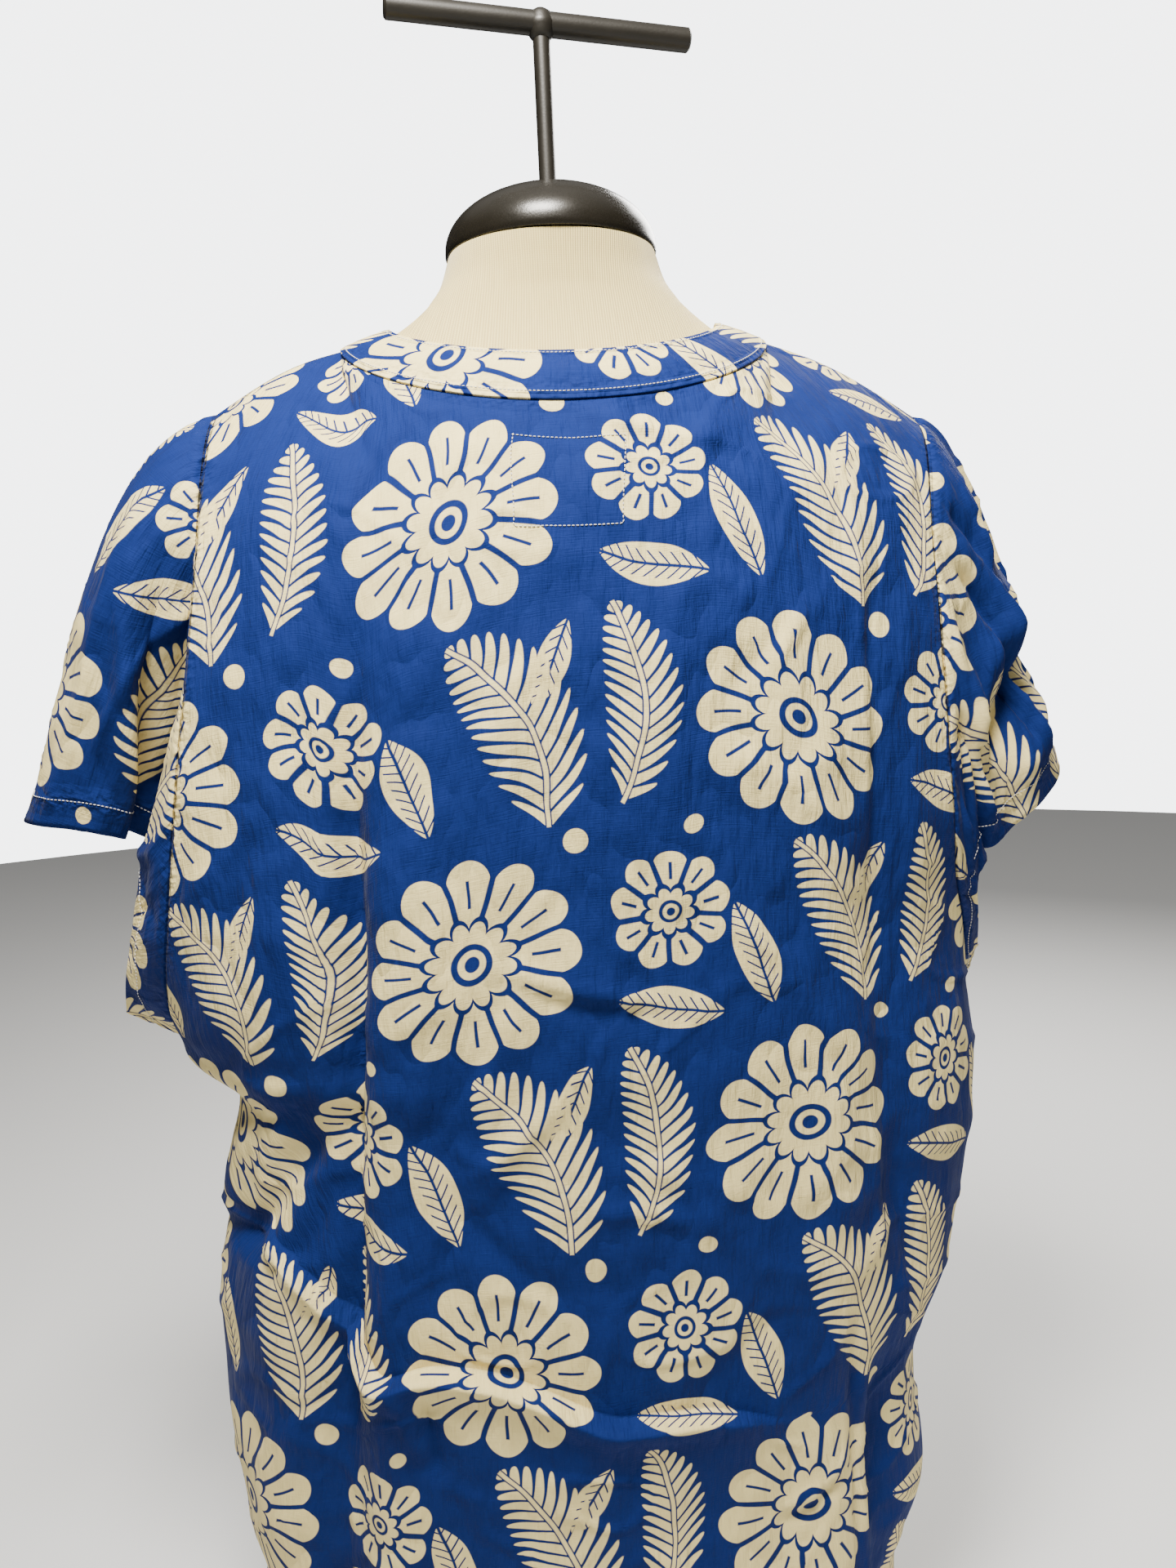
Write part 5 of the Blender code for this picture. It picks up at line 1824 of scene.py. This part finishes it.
def lathe(name: str, profile: list[tuple[float, float]], sides: int, place: Matrix) -> bpy.types.Object:
    """Turns a profile round Z into a closed, smooth solid.

    Args:
        name: the piece's name.
        profile: radius and height of its points, from the bottom up.
        sides: points round it.
        place: where it stands.

    Returns:
        The new object, with its place in its mesh.
    """
    shape = bmesh.new()
    rings = []
    for radius, height in profile:
        angles = [2 * math.pi * i / sides for i in range(sides)]
        rings.append([shape.verts.new((radius * math.cos(a), radius * math.sin(a), height)) for a in angles])
    for low, high in zip(rings, rings[1:]):
        for i in range(sides):
            k = (i + 1) % sides
            shape.faces.new((low[i], low[k], high[k], high[i]))
    shape.faces.new(tuple(reversed(rings[0])))
    shape.faces.new(rings[-1])
    mesh = bpy.data.meshes.new(name)
    shape.to_mesh(mesh)
    shape.free()
    mesh.transform(place)
    mesh.shade_smooth()
    mesh.set_sharp_from_angle(angle=math.radians(40))
    obj = bpy.data.objects.new(name, mesh)
    bpy.context.scene.collection.objects.link(obj)
    return obj


def joined(name: str, pieces: list[bpy.types.Object]) -> bpy.types.Object:
    """Makes several meshes one piece.

    Args:
        name: the new piece's name.
        pieces: the objects, which are used up.

    Returns:
        The new object.
    """
    shape = bmesh.new()
    for piece in pieces:
        shape.from_mesh(piece.data)
        bpy.data.objects.remove(piece)
    mesh = bpy.data.meshes.new(name)
    shape.to_mesh(mesh)
    shape.free()
    obj = bpy.data.objects.new(name, mesh)
    bpy.context.scene.collection.objects.link(obj)
    return obj


@dataclass
class DressForm:
    """The limbless torso with its jersey cover, neck cap and welded T hanger."""

    shift: Vector
    cloth: ClothForm = field(default_factory=lambda: ClothForm(columns=112, rows=(32, 44, 30, 8)))
    centre_x: float = 0.008
    cloth_wall: float = 0.0014
    band_wall: float = 0.0026
    rest_gap: float = 0.0020
    room: float = 0.0080
    room_power: float = 1.6
    boxiness: float = 0.92
    turn: float = math.radians(80)
    wale_radius: float = 0.060
    cap_radius: float = 0.0605
    cap_rim: float = 0.917
    cap_top: float = 0.955
    cap_wall_drop: float = 0.004
    stud_radius: float = 0.0078
    stud_height: float = 0.0030
    rod_radius: float = 0.0049
    bar_radius: float = 0.0065
    bar_length: float = 0.175
    bar_height: float = 1.0445
    bar_tilt: float = math.radians(2.0)
    bar_yaw: float = math.radians(8.0)
    weld_radius: float = 0.0082

    def oval(self, row: FormSection, angles: np.ndarray) -> np.ndarray:
        """Points round an oval section of the form."""
        across, along = np.cos(angles), np.sin(angles)
        x = row.half * np.sign(across) * np.abs(across) ** self.boxiness
        y = np.where(along > 0, row.back, row.front) * np.sign(along) * np.abs(along) ** self.boxiness
        return np.stack([self.centre_x + x, y, row.height + 0 * x], axis=-1)

    def skins(self) -> tuple[np.ndarray, np.ndarray, list[np.ndarray], list[np.ndarray]]:
        """Works out the cover: shoulders just beneath the cloth, a bare neck, and ovals below.

        Returns:
            The back's and the front's shoulders, the neck's rings and the body's rings.
        """
        cloth = self.cloth
        back, front = cloth.panel(Face.BACK), cloth.panel(Face.FRONT)
        back_ways, front_ways = grid_normals(back, False), -grid_normals(front, False)
        half, steps = cloth.columns // 2, cloth.neck_steps
        for columns in (slice(0, half - steps + 1), slice(half + steps, None)):
            shared = unit(back_ways[0, columns] + front_ways[0, columns])
            back_ways[0, columns] = front_ways[0, columns] = shared
        last = cloth.rows[0] + 1
        down = (np.arange(last) / cloth.rows[0])[:, None, None]
        room = self.cloth_wall / 2 + self.rest_gap + self.room * down**self.room_power
        back_skin, front_skin = back[:last] - back_ways[:last] * room, front[:last] - front_ways[:last] * room
        low, middle, high = cloth.band_edges(back, front)
        ways = -grid_normals(np.array([low, middle, high]), True)
        inset = self.band_wall / 2 + self.rest_gap
        neck_columns = cloth.neck_columns
        start = np.concatenate([back_skin[0, neck_columns], front_skin[0, neck_columns][-2:0:-1]])
        turn = np.linspace(math.pi, 0, neck_columns.stop - neck_columns.start)
        angles = np.concatenate([turn, -turn[-2:0:-1]])
        heights = np.linspace(FORM_NECK[0].height, FORM_NECK[-1].height, 9)
        neck = [start, middle - ways[1] * inset, high - ways[2] * inset]
        for height in heights:
            sizes = [float(column(FORM_NECK, name, height)) for name in ("half", "back", "front")]
            neck.append(self.oval(FormSection(float(height), *sizes), angles))
        turn = math.pi / 2 - cloth.across() * self.turn
        angles = np.concatenate([turn, -turn[::-1]])
        body = [np.concatenate([back_skin[-1], front_skin[-1][::-1]])]
        for height in np.linspace(FORM[-1].height, FORM[0].height, 30):
            sizes = [float(column(FORM, name, height)) for name in ("half", "back", "front")]
            body.append(self.oval(FormSection(float(height), *sizes), angles))
        return back_skin, front_skin, neck, body

    def cover(self) -> bpy.types.Object:
        """Makes the jersey-covered torso as one closed skin."""
        back, front, neck, body = self.skins()
        span = self.cloth.neck_columns
        front[0, : span.start + 1] = back[0, : span.start + 1]
        front[0, span.stop - 1 :] = back[0, span.stop - 1 :]
        shape = bmesh.new()
        plates = [np.stack([back[:, edge], front[:, edge]], axis=1) for edge in (0, -1)]
        for grid, closed in ((back, False), (front, False), *((p, False) for p in plates), (neck, True), (body, True)):
            rows = [[shape.verts.new(point) for point in row] for row in grid]
            for upper, lower in zip(rows, rows[1:]):
                for j in range(len(upper) if closed else len(upper) - 1):
                    k = (j + 1) % len(upper)
                    shape.faces.new((upper[j], lower[j], lower[k], upper[k]))
            if closed:
                shape.faces.new(rows[-1])
        bmesh.ops.remove_doubles(shape, verts=shape.verts, dist=1e-6)
        bmesh.ops.recalc_face_normals(shape, faces=shape.faces)
        places = shape.loops.layers.uv.new("cover")
        for face in shape.faces:
            turns = [math.atan2(loop.vert.co.x - self.centre_x, loop.vert.co.y) for loop in face.loops]
            straddles = max(turns) - min(turns) > math.pi
            for loop, turn in zip(face.loops, turns):
                turn += 2 * math.pi if straddles and turn < 0 else 0.0
                loop[places].uv = (turn * self.wale_radius, loop.vert.co.z)
        mesh = bpy.data.meshes.new("torso_form_cover")
        shape.to_mesh(mesh)
        shape.free()
        mesh.transform(Matrix.Translation(self.shift))
        mesh.shade_smooth()
        mesh.set_sharp_from_angle(angle=math.radians(60))
        obj = bpy.data.objects.new("torso_form_cover", mesh)
        bpy.context.scene.collection.objects.link(obj)
        return obj

    def cap(self) -> bpy.types.Object:
        """Makes the neck cap: a low dome with a rounded rim, and a stud for the rod."""
        base = self.cap_rim + self.cap_wall_drop
        profile = [(self.cap_radius - 0.0020, self.cap_rim), (self.cap_radius - 0.0006, self.cap_rim + 0.0005)]
        profile.append((self.cap_radius, self.cap_rim + 0.0018))
        for i in range(22):
            turn = i / 22 * math.pi / 2
            radius = self.cap_radius * math.cos(turn)
            if radius > self.stud_radius + 0.002:
                profile.append((radius, base + (self.cap_top - base) * math.sin(turn)))
        top = self.cap_top + self.stud_height
        profile += [(self.stud_radius + 0.0012, self.cap_top), (self.stud_radius, self.cap_top + 0.0008)]
        profile += [(self.stud_radius, top - 0.0008), (self.stud_radius - 0.0008, top)]
        return lathe("neck_cap_dome", profile, 96, Matrix.Translation(self.shift + Vector((self.centre_x, 0, 0))))

    def rod(self, name: str, radius: float, low: float, high: float, place: Matrix) -> bpy.types.Object:
        """Makes a round bar with eased ends.

        Args:
            name: the piece's name.
            radius: the bar's radius.
            low: where it starts along Z.
            high: where it ends.
            place: where it stands.

        Returns:
            The bar.
        """
        ease_off = 0.18 * radius
        profile = [(radius - ease_off, low), (radius, low + ease_off)]
        profile += [(radius, high - ease_off), (radius - ease_off, high)]
        return lathe(name, profile, 40, place)

    def hanger(self) -> bpy.types.Object:
        """Makes the T hanger: the rod, the cross bar, and the weld bead where they meet."""
        at = Matrix.Translation(self.shift + Vector((self.centre_x, 0, 0)))
        foot = self.cap_top + self.stud_height - 0.0002
        upright = self.rod("rod", self.rod_radius, foot, self.bar_height, at)
        crossed = Matrix.Rotation(self.bar_yaw, 4, "Z") @ Matrix.Rotation(math.pi / 2 - self.bar_tilt, 4, "Y")
        place = at @ Matrix.Translation((0, 0, self.bar_height)) @ crossed
        bar = self.rod("bar", self.bar_radius, -self.bar_length / 2, self.bar_length / 2, place)
        bead = []
        for i in range(1, 16):
            turn = math.pi * i / 16
            ripple = 1 + 0.03 * math.sin(9 * turn)
            bead.append((self.weld_radius * math.sin(turn) * ripple, -0.0092 * math.cos(turn)))
        weld = lathe("weld", bead, 32, at @ Matrix.Translation((0, 0, self.bar_height - 0.0010)))
        hanger = joined("hanger_tee_bars", [upright, bar, weld])
        hanger.data.set_sharp_from_angle(angle=math.radians(40))
        return hanger

    def build(self, jersey: bpy.types.Material, cap_metal: bpy.types.Material, hanger_metal: bpy.types.Material) -> None:
        """Makes and dresses the form.

        Args:
            jersey: the cover's finish.
            cap_metal: the cap's finish.
            hanger_metal: the hanger's finish.
        """
        for obj, node, slot, material in (
            (self.cover(), "torso_form", "jersey", jersey),
            (self.cap(), "neck_cap", "cap_metal", cap_metal),
            (self.hanger(), "hanger_tee", "hanger_metal", hanger_metal),
        ):
            obj.data.materials.clear()
            obj.data.materials.append(material)
            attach(obj, BODY)
            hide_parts(node)
            log.info("%s: %d points", obj.name, len(obj.data.vertices))


@dataclass
class Studio:
    """The pale floor, the soft lights and the camera."""

    shift: Vector
    camera_turn: float = math.radians(5.0)
    camera_pitch: float = math.radians(7.0)
    camera_roll: float = math.radians(2.5)
    camera_distance: float = 0.71
    camera_height: float = 0.70
    lens: float = 27.02
    film_height: float = 36.0
    fill: float = 0.035
    floor_radius: float = 4.0
    backdrop: float = 5.0

    def camera(self) -> None:
        """Puts the camera where the photograph was taken from, behind the garment."""
        data = bpy.data.cameras.new("camera")
        data.sensor_fit, data.sensor_height, data.lens = "VERTICAL", self.film_height, self.lens
        data.clip_start = 0.02
        camera = bpy.data.objects.new("camera", data)
        bpy.context.scene.collection.objects.link(camera)
        s, c = math.sin(self.camera_turn), math.cos(self.camera_turn)
        level, up = Vector((-s, -c, 0)), Vector((0, 0, 1))
        right = level.cross(up)
        ahead = level * math.cos(self.camera_pitch) - up * math.sin(self.camera_pitch)
        above = up * math.cos(self.camera_pitch) + level * math.sin(self.camera_pitch)
        x_axis = right * math.cos(self.camera_roll) - above * math.sin(self.camera_roll)
        y_axis = above * math.cos(self.camera_roll) + right * math.sin(self.camera_roll)
        place = Matrix((x_axis, y_axis, -ahead)).transposed().to_4x4()
        eye = Vector((self.camera_distance * s, self.camera_distance * c, self.camera_height))
        place.translation = eye + self.shift
        camera.matrix_world = place
        bpy.context.scene.camera = camera

    def lamp(
        self, name: str, at: tuple, aim: tuple, size: float, power: float, colour: tuple, beam: float = 180.0
    ) -> None:
        """Adds a square soft light.

        Args:
            name: the light's name.
            at: where it hangs.
            aim: where it points.
            size: its side.
            power: its watts.
            colour: its colour.
            beam: how widely it spreads, in degrees.
        """
        data = bpy.data.lights.new(name, "AREA")
        data.shape, data.size, data.energy, data.color = "SQUARE", size, power, colour
        data.spread = math.radians(beam)
        light = bpy.data.objects.new(name, data)
        bpy.context.scene.collection.objects.link(light)
        light.location = at
        light.rotation_euler = (Vector(aim) - Vector(at)).to_track_quat("-Z", "Y").to_euler()

    def floor(self) -> None:
        """Lays the plain pale floor."""
        mesh = bpy.data.meshes.new("floor")
        turns = np.linspace(0, 2 * math.pi, 96, endpoint=False)
        ring = [(self.floor_radius * math.cos(t), self.floor_radius * math.sin(t), 0.0) for t in turns]
        mesh.from_pydata(ring, [], [tuple(range(len(ring)))])
        floor = bpy.data.objects.new("floor", mesh)
        bpy.context.scene.collection.objects.link(floor)
        material = bpy.data.materials.new("pale_floor")
        material.use_nodes = True
        shader = material.node_tree.nodes["Principled BSDF"]
        shader.inputs["Base Color"].default_value = (0.86, 0.86, 0.85, 1.0)
        shader.inputs["Roughness"].default_value = 0.9
        mesh.materials.append(material)

    def sky(self) -> None:
        """Sets an even, pale surround."""
        world = bpy.data.worlds.new("surround")
        world.use_nodes = True
        ground = world.node_tree.nodes["Background"]
        ground.inputs["Color"].default_value = (0.97, 0.985, 1.0, 1.0)
        rays = world.node_tree.nodes.new("ShaderNodeLightPath")
        seen = Signal(world.node_tree, rays.outputs["Is Camera Ray"])
        strength = seen * (self.backdrop - self.fill) + self.fill
        world.node_tree.links.new(strength.socket, ground.inputs["Strength"])
        bpy.context.scene.world = world

    def build(self) -> None:
        """Sets up the whole studio."""
        self.camera()
        self.floor()
        self.sky()
        self.lamp("key", (0.12, 0.52, 1.50), (0.0, 0.05, 0.80), 0.30, 34.0, (1.0, 0.97, 0.92))
        self.lamp("ceiling", (0.0, 0.0, 3.60), (0.0, 0.0, 0.0), 12.0, 100.0, (1.0, 0.99, 0.97), 110.0)
        self.lamp("front", (-0.90, -1.10, 1.60), (0.0, 0.0, 0.60), 0.8, 42.0, (1.0, 0.98, 0.95))


def main() -> None:
    """Builds the studio, the form and the tunic in order."""
    logging.basicConfig(level=logging.INFO, format="%(name)s: %(message)s")
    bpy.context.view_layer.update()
    low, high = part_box("neck_cap")
    middle = (low + high) / 2
    shift = Vector((middle.x - ClothForm().centre_x, middle.y, 0.0))
    Studio(shift).build()
    metal = DarkMetal()
    DressForm(shift).build(
        Jersey().material("jersey_rib"),
        metal.material("cap_bronze"),
        DarkMetal(roughness=0.42).material("hanger_bronze"),
    )
    TunicTop(ClothForm(), shift).build(
        PrintedCotton().material("printed_cotton_right_side"),
        PrintedCotton(wrong_side=0.55).material("printed_cotton_wrong_side"),
        Thread().material("sewing_thread"),
    )


if __name__ == "__main__":
    main()
